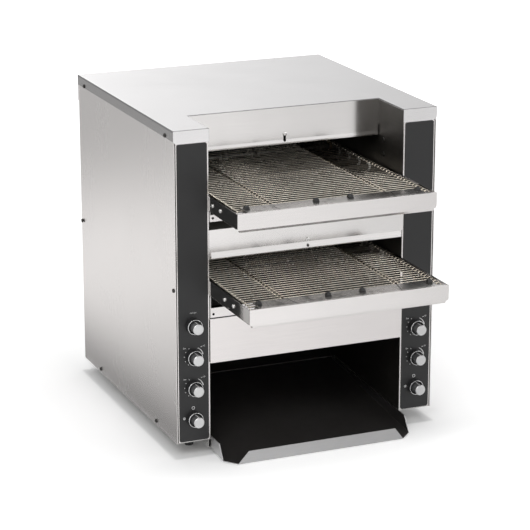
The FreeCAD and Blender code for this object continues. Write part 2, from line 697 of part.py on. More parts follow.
def clamp_slot(y, top, drop):
    """An upright slot for a clamp screw, from its upper end down by drop."""
    half = SLOT_WIDTH / 2
    cut = [rod_y(half, y - OVERRUN, y + OVERRUN, 0, z) for z in (top, top - drop)]
    return cut + [box(-half, half, y - OVERRUN, y + OVERRUN, top - drop, top)]


def header(y, top, bottom, fold_rise, kick):
    """A fixed header whose bottom edge kicks out towards the user."""
    path = ((y, top), (y, bottom + fold_rise), (y - kick, bottom))
    return folded(path, SHEET, -BAY, BAY)


def door(y, bottom, clamp_z):
    """A sliding door behind a header, slotted round its clamp screw."""
    half = BAY - DOOR_SIDE_GAP
    y0 = y + SHEET + DOOR_GAP
    sheet = box(-half, half, y0, y0 + SHEET, bottom, bottom + DOOR_HEIGHT)
    slot = clamp_slot(y0, clamp_z + DOOR_TRAVEL, DOOR_TRAVEL + SLOT_DROP)
    return less(sheet, slot)


upper_header = header(NOTCH_DEPTH, ROOF_IN, UPPER_HEADER_BOTTOM, UPPER_FOLD_RISE, UPPER_KICK)
upper_cuts = clamp_slot(NOTCH_DEPTH, UPPER_CLAMP_Z, SLOT_DROP)
upper_cuts += end_notches(UPPER_HEADER_BOTTOM, NOTCH_DEPTH, UPPER_NOTCH_TALL)
save("upper_header", less(upper_header, upper_cuts))
save("upper_door", door(NOTCH_DEPTH, UPPER_TOP + UPPER_DOOR_RISE, UPPER_CLAMP_Z))
lower_header = header(0, LOWER_HEADER_TOP, LOWER_HEADER_BOTTOM, LOWER_FOLD_RISE, LOWER_KICK)
spare_z = LOWER_HEADER_BOTTOM + SPARE_HOLE_RISE
spare_hole = rod_y(SPARE_HOLE_RADIUS, -LOWER_KICK - OVERRUN, SHEET + OVERRUN, 0, spare_z)
lower_cuts = [spare_hole] + shank_holes
lower_cuts += end_notches(LOWER_HEADER_BOTTOM, 0, LOWER_NOTCH_TALL)
save("lower_header", less(lower_header, lower_cuts))
save("lower_door", door(0, LOWER_TOP + LOWER_DOOR_RISE, LOWER_CLAMP_Z))


# Conveyors
def straight_run(y0, z, links, joints):
    """A flat run of belt: cross wires at every pitch, hooked together at the joints."""
    y1 = y0 + links * LINK_PITCH
    z0 = z - WIRE / 2
    middle = [x for joint in joints for x in (joint - WIRE / 2, joint + WIRE / 2)]
    edges = [EDGE_LINK - BELT_HALF] + middle + [BELT_HALF - EDGE_LINK]

    def ring(x0, x1, ya, yb):
        points = [Vector(x0, ya, z0), Vector(x1, ya, z0), Vector(x1, yb, z0), Vector(x0, yb, z0)]
        return Part.makePolygon(points + points[:1])

    wires = [ring(-BELT_HALF, BELT_HALF, y0, y1)]
    for link in range(links):
        start = y0 + link * LINK_PITCH
        for x0, x1 in zip(edges[::2], edges[1::2]):
            wires.append(ring(x0, x1, start + WIRE / 2, start + LINK_PITCH - WIRE / 2))
    face = Part.makeFace(wires, "Part::FaceMakerBullseye")
    return face.extrude(Vector(0, 0, WIRE))


def belt_nose(y, z, forward):
    """A half turn of belt round a shaft, with its gaps between the wires."""
    outer = LINK_RADIUS + WIRE / 2
    inner = LINK_RADIUS - WIRE / 2
    end = BELT_HALF + OVERRUN
    ring = rod_x(outer, -BELT_HALF, BELT_HALF, y, z).cut(rod_x(inner, -end, end, y, z))
    reach = outer + OVERRUN
    ring = ring.common(box(-end, end, y, y + forward * reach, z - reach, z + reach))
    step = 360 / NOSE_LINKS
    gap = (LINK_PITCH - WIRE) / 2
    gaps = []
    spans = ((-BELT_HALF + EDGE_LINK, -JOINT_X - WIRE / 2), (-JOINT_X + WIRE / 2, JOINT_X - WIRE / 2))
    spans += ((JOINT_X + WIRE / 2, BELT_HALF - EDGE_LINK),)
    for index in range(NOSE_LINKS // 2):
        for x0, x1 in spans:
            window = box(x0, x1, y - gap, y + gap, z + inner - WIRE, z + outer + WIRE)
            turn = -forward * (2 * index + 1) * step / 2
            window.rotate(Vector(0, y, z), RIGHT, turn)
            gaps.append(window)
    return less(ring, gaps)


def belt(idler_y, drive_y, axis_z, links):
    """The whole loop: two straight runs and two half turns."""
    return [
        straight_run(idler_y, axis_z + LINK_RADIUS, links, (-JOINT_X, JOINT_X)),
        straight_run(idler_y, axis_z - LINK_RADIUS, links, ()),
        belt_nose(idler_y, axis_z, -1),
        belt_nose(drive_y, axis_z, 1),
    ]


def wheel(bore):
    """One belt sprocket at the origin, its rim notched for the wires."""
    disc = rod_x(SPROCKET_RADIUS, -SPROCKET_THICK / 2, SPROCKET_THICK / 2, 0, 0)
    cuts = [rod_x(bore + SHAFT_CLEARANCE, -SPROCKET_THICK, SPROCKET_THICK, 0, 0)]
    for index in range(NOSE_LINKS):
        turn = 2 * math.pi * index / NOSE_LINKS
        y = SPROCKET_RADIUS * math.sin(turn)
        z = SPROCKET_RADIUS * math.cos(turn)
        cuts.append(rod_x(SPROCKET_NOTCH, -SPROCKET_THICK, SPROCKET_THICK, y, z))
    return less(disc, cuts)


def toothed_disc(teeth, pitch_radius, bore):
    """A chain sprocket at the origin: pointed teeth on a thin disc."""
    outline = []
    for index in range(teeth):
        for half, radius in ((0, pitch_radius + CHAIN_TOOTH), (1, pitch_radius - CHAIN_TOOTH)):
            turn = math.pi * (2 * index + half) / teeth
            outline.append((radius * math.sin(turn), radius * math.cos(turn)))
    disc = prism_x(outline, -CHAIN_SPROCKET_THICK / 2, CHAIN_SPROCKET_THICK / 2)
    return disc.cut(rod_x(bore, -CHAIN_SPROCKET_THICK, CHAIN_SPROCKET_THICK, 0, 0))


def loop_outline(top, top_radius, bottom, bottom_radius):
    """A face round two circles, one above the other, at x of zero."""
    (y, z1), (_, z2) = top, bottom
    lean = math.asin((top_radius - bottom_radius) / (z1 - z2))
    dy, dz = math.cos(lean), -math.sin(lean)

    def at(height, radius, side):
        return Vector(0, y + side * radius * dy, height + radius * dz)

    crown = Part.Arc(at(z1, top_radius, -1), Vector(0, y, z1 + top_radius), at(z1, top_radius, 1))
    sole = Part.Arc(at(z2, bottom_radius, 1), Vector(0, y, z2 - bottom_radius), at(z2, bottom_radius, -1))
    right = Part.LineSegment(at(z1, top_radius, 1), at(z2, bottom_radius, 1))
    left = Part.LineSegment(at(z2, bottom_radius, -1), at(z1, top_radius, -1))
    return Part.Face(Part.Wire([piece.toShape() for piece in (crown, right, sole, left)]))


def chain(y, axis_z, side):
    """The two rows of side plates of a drive chain."""
    rows = []
    middle = side * (WALL_OUT + CHAIN_OFFSET)
    low = axis_z - MOTOR_DROP
    for edge in (-1, 1):
        grow = CHAIN_HALF_HEIGHT
        out = loop_outline((y, axis_z), DRIVE_PITCH_RADIUS + grow, (y, low), MOTOR_PITCH_RADIUS + grow)
        inside = loop_outline((y, axis_z), DRIVE_PITCH_RADIUS - grow, (y, low), MOTOR_PITCH_RADIUS - grow)
        row = out.cut(inside).extrude(Vector(CHAIN_PLATE, 0, 0))
        inner_edge = CHAIN_SPROCKET_THICK / 2 + CHAIN_SIDE_GAP
        start = inner_edge if edge > 0 else -inner_edge - CHAIN_PLATE
        rows.append(row.translated(Vector(middle + start, 0, 0)).Solids[0])
    return rows


def gearmotor(y, z, side):
    """Gearbox, motor can and the posts that stand on the bay wall."""
    near = WALL_OUT + GEARBOX_OFFSET
    far = near + GEARBOX_THICK
    half_deep = GEARBOX_DEEP / 2
    half_tall = GEARBOX_TALL / 2
    case = box(near, far, y - half_deep, y + half_deep, z - half_tall, z + half_tall)
    pieces = [rod_x(MOTOR_CAN_RADIUS, far, far + MOTOR_CAN_LENGTH, y, z)]
    for dy in (-half_deep + POST_INSET, half_deep - POST_INSET):
        for dz in (-half_tall + POST_INSET, half_tall - POST_INSET):
            pieces.append(rod_x(POST_RADIUS, WALL_OUT, near, y + dy, z + dz))
    body = joined(case, *pieces)
    bore = rod_x(MOTOR_SHAFT_RADIUS + SHAFT_CLEARANCE, near - OVERRUN, far - OVERRUN, y, z)
    body = body.cut(bore)
    return body if side > 0 else mirrored(body)


def motor_sprocket(y, z, side):
    """The small chain sprocket on its gearbox shaft."""
    middle = WALL_OUT + CHAIN_OFFSET
    disc = toothed_disc(MOTOR_TEETH, MOTOR_PITCH_RADIUS, MOTOR_SHAFT_RADIUS)
    disc = disc.translated(Vector(middle, y, z))
    start = middle - CHAIN_SPROCKET_THICK
    shaft = rod_x(MOTOR_SHAFT_RADIUS, start, start + MOTOR_SHAFT_LENGTH, y, z)
    body = joined(disc, shaft)
    return body if side > 0 else mirrored(body)


def rail(top, reach, back_y):
    """Right side rail: a web with a tab behind the guard."""
    z0 = top - RAIL_DROP
    front = SHEET - reach

    def low_front(edge):
        middle = edge.CenterOfMass
        return runs_along(edge, RIGHT) and middle.z < top - RAIL_DROP / 2 and middle.y < 0

    web = rounded_plate(RAIL_IN, BAY, front, back_y, z0, top, RAIL_CORNER, low_front)
    low = z0 + RAIL_CORNER
    tab = box(RAIL_IN - GUARD_LIP, RAIL_IN, front, front + RAIL_SHEET, low, top - RAIL_CORNER)
    return joined(web, tab)


def guard(top, reach):
    """Front guard: a face with a slanting fold and a lip below and a narrow lip on top."""
    low = top - GUARD_DROP
    fold = low + GUARD_HEM_RISE
    z1 = top + GUARD_RISE
    front = -reach
    face = box(-BAY, BAY, front, front + SHEET, fold, z1)
    lower = [e for e in face.Edges if runs_along(e, BACK) and e.CenterOfMass.z < top - GUARD_DROP / 2]
    face = face.makeFillet(GUARD_CORNER, lower)
    half = BAY - GUARD_CORNER
    path = (
        (front, fold + SHEET),
        (front, fold),
        (front + GUARD_HEM_BACK, low),
        (front + GUARD_LIP, low),
    )
    head_lip = box(-half, half, front, front + SHEET + GUARD_TOP_LIP, z1 - SHEET, z1)
    return joined(face, folded(path, SHEET, -half, half), head_lip)


def bracket(top, arm_front, low, tall):
    """Carrier of a conveyor: an arm behind each rail and a cross plate between the columns."""
    z1 = top - SHEET
    z0 = top - RAIL_DROP + SHEET
    arm = box(BRACKET_IN, RAIL_IN, arm_front, BRACKET_TAIL, z0, z1)
    web = box(BRACKET_IN, RAIL_IN, 0, BRACKET_TAIL, low, z1)
    cross = box(-RAIL_IN, RAIL_IN, 0, SHEET, low, low + tall)
    hole_x = BAY - BRACKET_HOLE_INSET
    hole_z = low + BRACKET_HOLE_RISE
    hole = rod_y(BRACKET_HOLE_RADIUS, -OVERRUN, SHEET + OVERRUN, hole_x, hole_z)
    return less(joined(cross, *both_sides(joined(arm, web))), both_sides(hole))


def apron(top, reach):
    """Smooth sheet over the front of the belt, turned down behind the guard's lip."""
    front = SHEET + GUARD_TOP_LIP - reach
    z = top + APRON_GAP
    path = (
        (front + APRON_SHEET, top - APRON_LIP),
        (front + APRON_SHEET, z),
        (front + APRON_DEEP, z),
    )
    return folded(path, APRON_SHEET, -APRON_HALF, APRON_HALF)


def shoe(x, top, idler_y):
    """A small black shoe on the apron, over a sprocket."""
    z = top + APRON_GAP + APRON_SHEET
    half = SHOE_DEEP / 2
    outline = (
        (idler_y - half, z),
        (idler_y + half, z),
        (idler_y + half - SHOE_TAPER, z + SHOE_HEIGHT),
        (idler_y - half + SHOE_TAPER, z + SHOE_HEIGHT),
    )
    return prism_x(outline, x - SHOE_WIDTH / 2, x + SHOE_WIDTH / 2)


bushings = []
brackets = []
aprons = []
shoes = []
chains = []
motors = []
upper_loop = (UPPER_IDLER_Y, UPPER_DRIVE_Y, UPPER_AXIS_Z, UPPER_LINKS)
lower_loop = (LOWER_IDLER_Y, LOWER_DRIVE_Y, LOWER_AXIS_Z, LOWER_LINKS)
upper_cross = (UPPER_TOP - UPPER_CROSS_DROP, UPPER_CROSS_TALL)
lower_cross = (HOOD_TOP + CROSS_GAP, LOWER_CROSS_TALL)
decks = (
    ("upper", UPPER_TOP, UPPER_REACH, upper_loop, UPPER_RAIL_SCREWS, upper_cross, -1),
    ("lower", LOWER_TOP, LOWER_REACH, lower_loop, LOWER_RAIL_SCREWS, lower_cross, 1),
)
for name, top, reach, loop, rail_screws, cross, side in decks:
    idler_y, drive_y, axis_z, links = loop
    save(f"{name}_belt", *belt(idler_y, drive_y, axis_z, links))
    rails = [less(piece, shank_holes) for piece in both_sides(rail(top, reach, RAIL_TAIL))]
    save(f"{name}_rails", *rails)
    save(f"{name}_guard", guard(top, reach))
    arm_front = min(rail_screws) - 2 * HEAD_RADIUS
    brackets.append(less(bracket(top, arm_front, *cross), shank_holes))
    aprons.append(apron(top, reach))
    shoes += [shoe(sign * x, top, idler_y) for x in WHEEL_X for sign in (-1, 1)]
    idler_end = RAIL_IN - SEAM
    save(f"{name}_idler_shaft", rod_x(IDLER_RADIUS, -idler_end, idler_end, idler_y, axis_z))
    near_end = -side * (WALL_OUT + BUSHING_TAIL)
    far_end = side * (WALL_OUT + CHAIN_OFFSET + CHAIN_SPROCKET_THICK)
    save(f"{name}_drive_shaft", rod_x(DRIVE_RADIUS, near_end, far_end, drive_y, axis_z))
    places = [sign * x for x in WHEEL_X for sign in (-1, 1)]
    idler_wheels = [wheel(IDLER_RADIUS).translated(Vector(x, idler_y, axis_z)) for x in places]
    save(f"{name}_idler_sprockets", *idler_wheels)
    drive_wheels = [wheel(DRIVE_RADIUS).translated(Vector(x, drive_y, axis_z)) for x in places]
    chain_wheel = toothed_disc(DRIVE_TEETH, DRIVE_PITCH_RADIUS, DRIVE_RADIUS + SHAFT_CLEARANCE)
    chain_x = side * (WALL_OUT + CHAIN_OFFSET)
    drive_wheels.append(chain_wheel.translated(Vector(chain_x, drive_y, axis_z)))
    save(f"{name}_drive_sprockets", *drive_wheels)
    for sign in (-1, 1):
        bore = IDLER_RADIUS + SHAFT_CLEARANCE
        start = sign * (RAIL_IN - BUSHING_LENGTH)
        block = rod_x(IDLER_RADIUS + BUSHING_WALL, start, sign * RAIL_IN, idler_y, axis_z)
        bushings.append(block.cut(rod_x(bore, 0, sign * WIDTH, idler_y, axis_z)))
        bore = DRIVE_RADIUS + SHAFT_CLEARANCE
        start = sign * (BAY - BUSHING_LEAD)
        end = sign * (WALL_OUT + BUSHING_TAIL)
        block = rod_x(DRIVE_RADIUS + BUSHING_WALL, start, end, drive_y, axis_z)
        bushings.append(block.cut(rod_x(bore, 0, sign * WIDTH, drive_y, axis_z)))
    chains += chain(drive_y, axis_z, side)
    motors.append(gearmotor(drive_y, axis_z - MOTOR_DROP, side))
    save(f"{name}_motor_sprocket", motor_sprocket(drive_y, axis_z - MOTOR_DROP, side))
save("shaft_bushings", *bushings)
save("conveyor_brackets", *brackets)
save("belt_aprons", *aprons)
save("nose_shoes", *shoes)
save("drive_chains", *chains)
save("gearmotors", *motors)


# Heating elements, insulators and shields
element_end = WALL_OUT + ELEMENT_TAIL
rods = [rod_x(ELEMENT_RADIUS, -element_end, element_end, y, z) for y, z in element_places()]
save("upper_elements", *rods[: 2 * UPPER_ELEMENTS])
save("lower_elements", *rods[2 * UPPER_ELEMENTS :])
insulators = []
for y, z in element_places():
    block = rod_x(INSULATOR_RADIUS, BAY - INSULATOR_LEAD, WALL_OUT + INSULATOR_TAIL, y, z)
    block = block.cut(rod_x(ELEMENT_RADIUS + FIT_GAP, 0, WIDTH, y, z))
    insulators += both_sides(block)
save("element_insulators", *insulators)

reflector_path = (
    (CHUTE_Y - SHEET, REFLECTOR_Z - REFLECTOR_EDGE),
    (CHUTE_Y - SHEET, REFLECTOR_Z),
    (NOTCH_DEPTH + 2 * SHEET, REFLECTOR_Z),
    (NOTCH_DEPTH + 2 * SHEET, REFLECTOR_Z - REFLECTOR_EDGE / 2),
)
save("upper_reflector", folded(reflector_path, -SHEET, -BAY, BAY))
divider_path = (
    (2 * SHEET, LOWER_HEADER_TOP - SHEET),
    (DIVIDER_BACK_Y, LOWER_HEADER_TOP - SHEET),
    (DIVIDER_BACK_Y + REFLECTOR_EDGE, LOWER_HEADER_TOP - SHEET - REFLECTOR_EDGE),
)
save("chamber_divider", folded(divider_path, SHEET, -BAY, BAY))


# Discharge: hood, chute and catch tray
hood_path = (
    (HOOD_TOP_FLANGE, HOOD_TOP),
    (-HOOD_PROUD, HOOD_TOP),
    (-HOOD_PROUD, HOOD_BOTTOM),
    (HOOD_BACK_Y, HOOD_BOTTOM),
)
save("discharge_hood", folded(hood_path, SHEET, -BAY, BAY))


def rear_chute():
    """A sheet that falls straight and then curves forwards to the tray."""
    centre_y = CHUTE_Y - CHUTE_RADIUS
    end_z = tray_line(CHUTE_END_Y) + CHUTE_GAP
    centre_z = end_z + CHUTE_RADIUS * math.cos(TRAY_ANGLE)
    top = REFLECTOR_Z

    def on_arc(radius, angle):
        return Vector(-BAY, centre_y + radius * math.cos(angle), centre_z - radius * math.sin(angle))

    last = math.pi / 2 - TRAY_ANGLE
    inner = CHUTE_RADIUS
    outer = CHUTE_RADIUS + SHEET
    front_top = Vector(-BAY, CHUTE_Y, top)
    rear_top = Vector(-BAY, CHUTE_Y + SHEET, top)
    edges = [
        Part.LineSegment(front_top, on_arc(inner, 0)),
        Part.Arc(on_arc(inner, 0), on_arc(inner, last / 2), on_arc(inner, last)),
        Part.LineSegment(on_arc(inner, last), on_arc(outer, last)),
        Part.Arc(on_arc(outer, last), on_arc(outer, last / 2), on_arc(outer, 0)),
        Part.LineSegment(on_arc(outer, 0), rear_top),
        Part.LineSegment(rear_top, front_top),
    ]
    face = Part.Face(Part.Wire([edge.toShape() for edge in edges]))
    return face.extrude(Vector(2 * BAY, 0, 0))


save("rear_chute", rear_chute())


def tray_floor():
    """Sloping floor whose front corners run in diagonally to the lip."""
    outline = (
        (-TRAY_HALF, TRAY_REAR_Y),
        (-TRAY_HALF, TRAY_FRONT_Y),
        (-LIP_HALF_BOTTOM, LIP_Y),
        (LIP_HALF_BOTTOM, LIP_Y),
        (TRAY_HALF, TRAY_FRONT_Y),
        (TRAY_HALF, TRAY_REAR_Y),
    )
    points = [Vector(x, y, tray_line(y)) for x, y in outline]
    face = Part.Face(Part.makePolygon(points + points[:1]))
    return face.extrude(Vector(0, 0, TRAY_SHEET))


def tray_wall():
    """Right tray wall: level top, slanted front end."""
    outline = (
        (TRAY_FRONT_Y, tray_line(TRAY_FRONT_Y)),
        (TRAY_REAR_Y, tray_line(TRAY_REAR_Y)),
        (TRAY_REAR_Y, tray_line(TRAY_REAR_Y) + TRAY_WALL_REAR_RISE),
        (TRAY_FRONT_Y + TRAY_WALL_SETBACK, TRAY_WALL_FRONT_TOP),
    )
    return prism_x(outline, TRAY_HALF - TRAY_SHEET, TRAY_HALF)


def tray_lip():
    """Front lip, narrower at its top and leaning forwards."""
    low_z = tray_line(LIP_Y)
    bottom = [Vector(x, LIP_Y, low_z) for x in (-LIP_HALF_BOTTOM, LIP_HALF_BOTTOM)]
    top = [Vector(x, LIP_Y - LIP_LEAN, low_z + LIP_HEIGHT) for x in (LIP_HALF_TOP, -LIP_HALF_TOP)]
    face = Part.Face(Part.makePolygon(bottom + top + bottom[:1]))
    return face.extrude(Vector(0, TRAY_SHEET, 0))


save("catch_tray", joined(tray_floor(), tray_lip(), *both_sides(tray_wall())))


# Knobs, bezels and rotary switches
def knob(x, z):
    """Knob with a pointer groove and its stem."""
    back = -BEZEL_THICK - KNOB_GAP
    cap = rod_y(KNOB_RADIUS, -KNOB_REACH, back, x, z)
    rims = [e for e in round_edges(cap) if e.CenterOfMass.y < back - KNOB_EDGE]
    cap = cap.makeFillet(KNOB_EDGE, rims)
    half = POINTER_WIDTH / 2
    y0 = -KNOB_REACH - OVERRUN
    top = z + KNOB_RADIUS + OVERRUN
    groove = box(x - half, x + half, y0, POINTER_DEEP - KNOB_REACH, z + KNOB_RADIUS / 2, top)
    stem = rod_y(STEM_RADIUS, back - OVERRUN, SWITCH_DEEP / 2, x, z)
    return joined(cap.cut(groove), stem)


def rotary_switch(x, z):
    """Switch body behind the column and its bush through the plate."""
    half = SWITCH_SIZE / 2
    start = 2 * SHEET
    body = box(x - half, x + half, start, start + SWITCH_DEEP, z - half, z + half)
    bush = rod_y(BUSH_RADIUS, -BEZEL_THICK, start + OVERRUN, x, z)
    bore = rod_y(STEM_RADIUS + STEM_CLEARANCE, -BEZEL_THICK - OVERRUN, SWITCH_DEEP / 2 + OVERRUN, x, z)
    return joined(body, bush).cut(bore)


def bezel(x, z):
    """Ring round the bush, in front of the plate."""
    ring = rod_y(BEZEL_RADIUS, -BEZEL_THICK, 0, x, z)
    rims = [e for e in round_edges(ring) if e.CenterOfMass.y < -BEZEL_THICK / 2]
    ring = ring.makeChamfer(BEZEL_EDGE, rims)
    return ring.cut(rod_y(BUSH_RADIUS + FIT_GAP, -BEZEL_THICK - OVERRUN, OVERRUN, x, z))


switches = []
bezels = []
for name, side, count in (("left", -1, LEFT_KNOB_COUNT), ("right", 1, RIGHT_KNOB_COUNT)):
    for index, z in enumerate(knob_heights(count)):
        save(f"knob_{name}_{index + 1}", knob(side * KNOB_X, z))
        switches.append(rotary_switch(side * KNOB_X, z))
        bezels.append(bezel(side * KNOB_X, z))
save("rotary_switches", *switches)
save("knob_bezels", *bezels)


# Rear plenum: fan, terminal block and cord gland
def fan_housing():
    """Square fan frame with a round bore, four struts and a bearing boss."""
    half = FAN_SIZE / 2
    y0 = REAR_IN - FAN_DEEP
    frame = box(FAN_X - half, FAN_X + half, y0, REAR_IN, FAN_Z - half, FAN_Z + half)
    frame = frame.cut(rod_y(FAN_BORE, y0 - OVERRUN, REAR_IN + OVERRUN, FAN_X, FAN_Z))
    y1 = y0 + FAN_STRUT
    thin = FAN_STRUT / 2
    across = box(FAN_X - half, FAN_X + half, y0, y1, FAN_Z - thin, FAN_Z + thin)
    upright = box(FAN_X - thin, FAN_X + thin, y0, y1, FAN_Z - half, FAN_Z + half)
    boss = rod_y(FAN_HUB, y0, y1, FAN_X, FAN_Z)
    bore = rod_y(FAN_PIN + SHAFT_CLEARANCE, y0 - OVERRUN, REAR_IN, FAN_X, FAN_Z)
    return joined(frame, across, upright, boss).cut(bore)


def fan_rotor():
    """Hub, pin and tilted blades."""
    y0 = REAR_IN - FAN_DEEP + FAN_STRUT + FAN_FACE_GAP
    y1 = REAR_IN - FAN_FACE_GAP
    middle = (y0 + y1) / 2
    hub = rod_y(FAN_HUB, y0, y1, 0, 0)
    pieces = [rod_y(FAN_PIN, y0 - FAN_STRUT, middle, 0, 0)]
    tip = FAN_BORE - FAN_TIP_GAP
    for index in range(FAN_BLADES):
        half = FAN_BLADE_THICK / 2
        chord = FAN_BLADE_CHORD / 2
        blade = box(-half, half, middle - chord, middle + chord, FAN_HUB - OVERRUN, tip)
        blade.rotate(Vector(0, middle, 0), Vector(0, 0, 1), FAN_BLADE_TILT)
        blade.rotate(Vector(0, middle, 0), BACK, index * 360 / FAN_BLADES)
        pieces.append(blade)
    return joined(hub, *pieces).translated(Vector(FAN_X, 0, FAN_Z))


def cord_gland():
    """Gland through the rear panel: inner nut, flange and tapered nose with its bore."""
    face = DEPTH - SHEET
    flange = rod_y(GLAND_FLANGE_RADIUS, face, face + GLAND_FLANGE, GLAND_X, GLAND_Z)
    neck = rod_y(GLAND_RADIUS, REAR_IN - GLAND_NUT, face, GLAND_X, GLAND_Z)
    nut = rod_y(GLAND_FLANGE_RADIUS, REAR_IN - GLAND_NUT, REAR_IN, GLAND_X, GLAND_Z)
    start = face + GLAND_FLANGE
    length = DEPTH + GLAND_REACH - start
    nose = Part.makeCone(GLAND_RADIUS, GLAND_TIP_RADIUS, length, Vector(GLAND_X, start, GLAND_Z), BACK)
    body = joined(flange, neck, nut, nose)
    y0 = REAR_IN - GLAND_NUT - OVERRUN
    return body.cut(rod_y(GLAND_BORE, y0, DEPTH + GLAND_REACH + OVERRUN, GLAND_X, GLAND_Z))


def terminal_block():
    """Mains terminal block on the rear panel, a recess for every pole."""
    x0 = BLOCK_X - BLOCK_WIDTH / 2
    z0 = GLAND_Z - BLOCK_TALL / 2
    body = box(x0, x0 + BLOCK_WIDTH, REAR_IN - BLOCK_DEEP, REAR_IN, z0, z0 + BLOCK_TALL)
    pitch = BLOCK_WIDTH / BLOCK_POLES
    cuts = []
    for index in range(BLOCK_POLES):
        start = x0 + index * pitch + BLOCK_POLE_GAP / 2
        y0 = REAR_IN - BLOCK_DEEP
        deep = BLOCK_DEEP / 2
        end = start + pitch - BLOCK_POLE_GAP
        low = z0 + BLOCK_POLE_GAP
        cuts.append(box(start, end, y0 - OVERRUN, y0 + deep, low, z0 + BLOCK_TALL - BLOCK_POLE_GAP))
    return less(body, cuts)


save("fan_housing", fan_housing())
save("fan_rotor", fan_rotor())
save("cord_gland", cord_gland())
save("terminal_block", terminal_block())
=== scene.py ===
# %% [markdown]
# # A two-deck conveyor toaster
# The toaster is a steel casing with two wire belts, two black control columns and a sloping
# catch tray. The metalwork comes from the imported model, so this lesson loads it first and
# then adds what a solid model is poor at: woven belts, grip knobs, dial marks, screw heads
# and the finish of every surface. Lengths are metres, and most sizes are written as
# millimetres times MM.

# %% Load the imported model
import json
import bmesh
import bpy
from math import cos, hypot, pi, radians, sin, tan
from mathutils import Matrix, Vector


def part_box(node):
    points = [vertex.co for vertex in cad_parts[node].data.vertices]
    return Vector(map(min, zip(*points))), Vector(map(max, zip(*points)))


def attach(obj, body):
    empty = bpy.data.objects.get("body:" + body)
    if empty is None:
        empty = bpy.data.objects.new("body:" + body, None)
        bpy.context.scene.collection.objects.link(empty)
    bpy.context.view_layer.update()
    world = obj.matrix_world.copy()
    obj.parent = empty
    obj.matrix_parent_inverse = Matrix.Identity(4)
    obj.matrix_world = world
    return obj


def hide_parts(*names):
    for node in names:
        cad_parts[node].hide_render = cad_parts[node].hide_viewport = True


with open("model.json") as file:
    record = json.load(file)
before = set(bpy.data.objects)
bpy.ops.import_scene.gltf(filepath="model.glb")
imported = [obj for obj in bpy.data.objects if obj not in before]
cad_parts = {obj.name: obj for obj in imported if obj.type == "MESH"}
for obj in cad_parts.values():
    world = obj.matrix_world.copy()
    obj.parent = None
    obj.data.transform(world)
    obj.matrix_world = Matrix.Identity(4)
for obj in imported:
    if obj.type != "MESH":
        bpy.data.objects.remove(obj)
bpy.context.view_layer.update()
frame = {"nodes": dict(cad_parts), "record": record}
MM = 0.001
nodes = frame["nodes"]
scene = bpy.context.scene


# %% Helpers that put objects into the scene
def linked(name, data):
    """A new object for a mesh, a lamp or a camera."""
    made = bpy.data.objects.new(name, data)
    scene.collection.objects.link(made)
    return made


def drawn(name, points, edges=(), faces=()):
    """A mesh object from points, edges and faces."""
    mesh = bpy.data.meshes.new(name)
    mesh.from_pydata([tuple(point) for point in points], edges, faces)
    return linked(name, mesh)


def closed(work, name, materials=()):
    """A mesh object from a finished bmesh, with its faces turned outwards."""
    bmesh.ops.recalc_face_normals(work, faces=work.faces)
    mesh = bpy.data.meshes.new(name)
    work.to_mesh(mesh)
    work.free()
    for material in materials:
        mesh.materials.append(material)
    return linked(name, mesh)


def stacked(work, rings):
    """Closes a stack of rings of points to a body."""
    for a, b in zip(rings, rings[1:]):
        for corners in zip(a, a[1:] + a[:1], b[1:] + b[:1], b):
            work.faces.new(corners)
    work.faces.new(rings[0][::-1])
    work.faces.new(rings[-1])


print("object helpers ready")


# %% [markdown]
# ## Camera and studio
# The camera stands left of the middle and looks a little down. A long lens keeps the
# uprights nearly parallel. The floor and the backdrop are white to the camera. Polished steel
# looks like whatever it mirrors, so its reflections get a sky that is dim overhead, a graded
# card beside the left skin and a floor that darkens towards the casing. The lamps stay soft
# and at a plain level, so a colour shows as it is written.

# %% Camera
CAMERA_TARGET = Vector((0.02681, 0.0815, 0.2544))
CAMERA_TURN = radians(-22.949)
CAMERA_RISE = radians(16.724)
CAMERA_DISTANCE = 4.1606
SENSOR = 36.0
LENS = 150.37

camera_data = bpy.data.cameras.new("camera")
camera_data.sensor_width = SENSOR
camera_data.lens = LENS
camera = linked("camera", camera_data)
back = Vector((
    sin(CAMERA_TURN) * cos(CAMERA_RISE),
    -cos(CAMERA_TURN) * cos(CAMERA_RISE),
    sin(CAMERA_RISE),
))
camera.location = CAMERA_TARGET + back * CAMERA_DISTANCE
camera.rotation_euler = back.to_track_quat("Z", "Y").to_euler()
scene.camera = camera
scene.view_settings.view_transform = "Standard"
print("camera at", [round(value, 3) for value in camera.location])


# %% Helpers that add and link shader nodes
def node(tree, kind, inputs=(), family="Shader", **settings):
    """A new node. inputs maps a socket's name or number to a value or to another socket."""
    made = tree.nodes.new(f"{family}Node{kind}")
    for key, value in settings.items():
        setattr(made, key, value)
    for key, value in dict(inputs).items():
        if isinstance(value, bpy.types.NodeSocket):
            tree.links.new(value, made.inputs[key])
        else:
            made.inputs[key].default_value = value
    return made


def maths(tree, operation, *values):
    """One Math node."""
    return node(tree, "Math", enumerate(values), operation=operation).outputs[0]


def plus(tree, *values):
    """The sum of two values."""
    return maths(tree, "ADD", *values)


def times(tree, value, *factors):
    """The product of two or more values."""
    for factor in factors:
        value = maths(tree, "MULTIPLY", value, factor)
    return value


def vectors(tree, operation, *values, out="Vector"):
    """One Vector Math node."""
    return node(tree, "VectorMath", enumerate(values), operation=operation).outputs[out]


def scaled(tree, vector, factor):
    """A vector or colour times a value."""
    return node(tree, "VectorMath", {0: vector, "Scale": factor}, operation="SCALE").outputs[0]


def ranged(tree, value, start, end, low, high, **settings):
    """Maps a value that runs from start to end onto low to high, and no further."""
    return node(tree, "MapRange", enumerate((value, start, end, low, high)), **settings).outputs[0]


def parts_of(tree, vector):
    """X, Y and Z of a vector."""
    return node(tree, "SeparateXYZ", {0: vector}).outputs


def coordinate(tree, name):
    """A texture coordinate, such as Object or Normal."""
    return node(tree, "TexCoord").outputs[name]


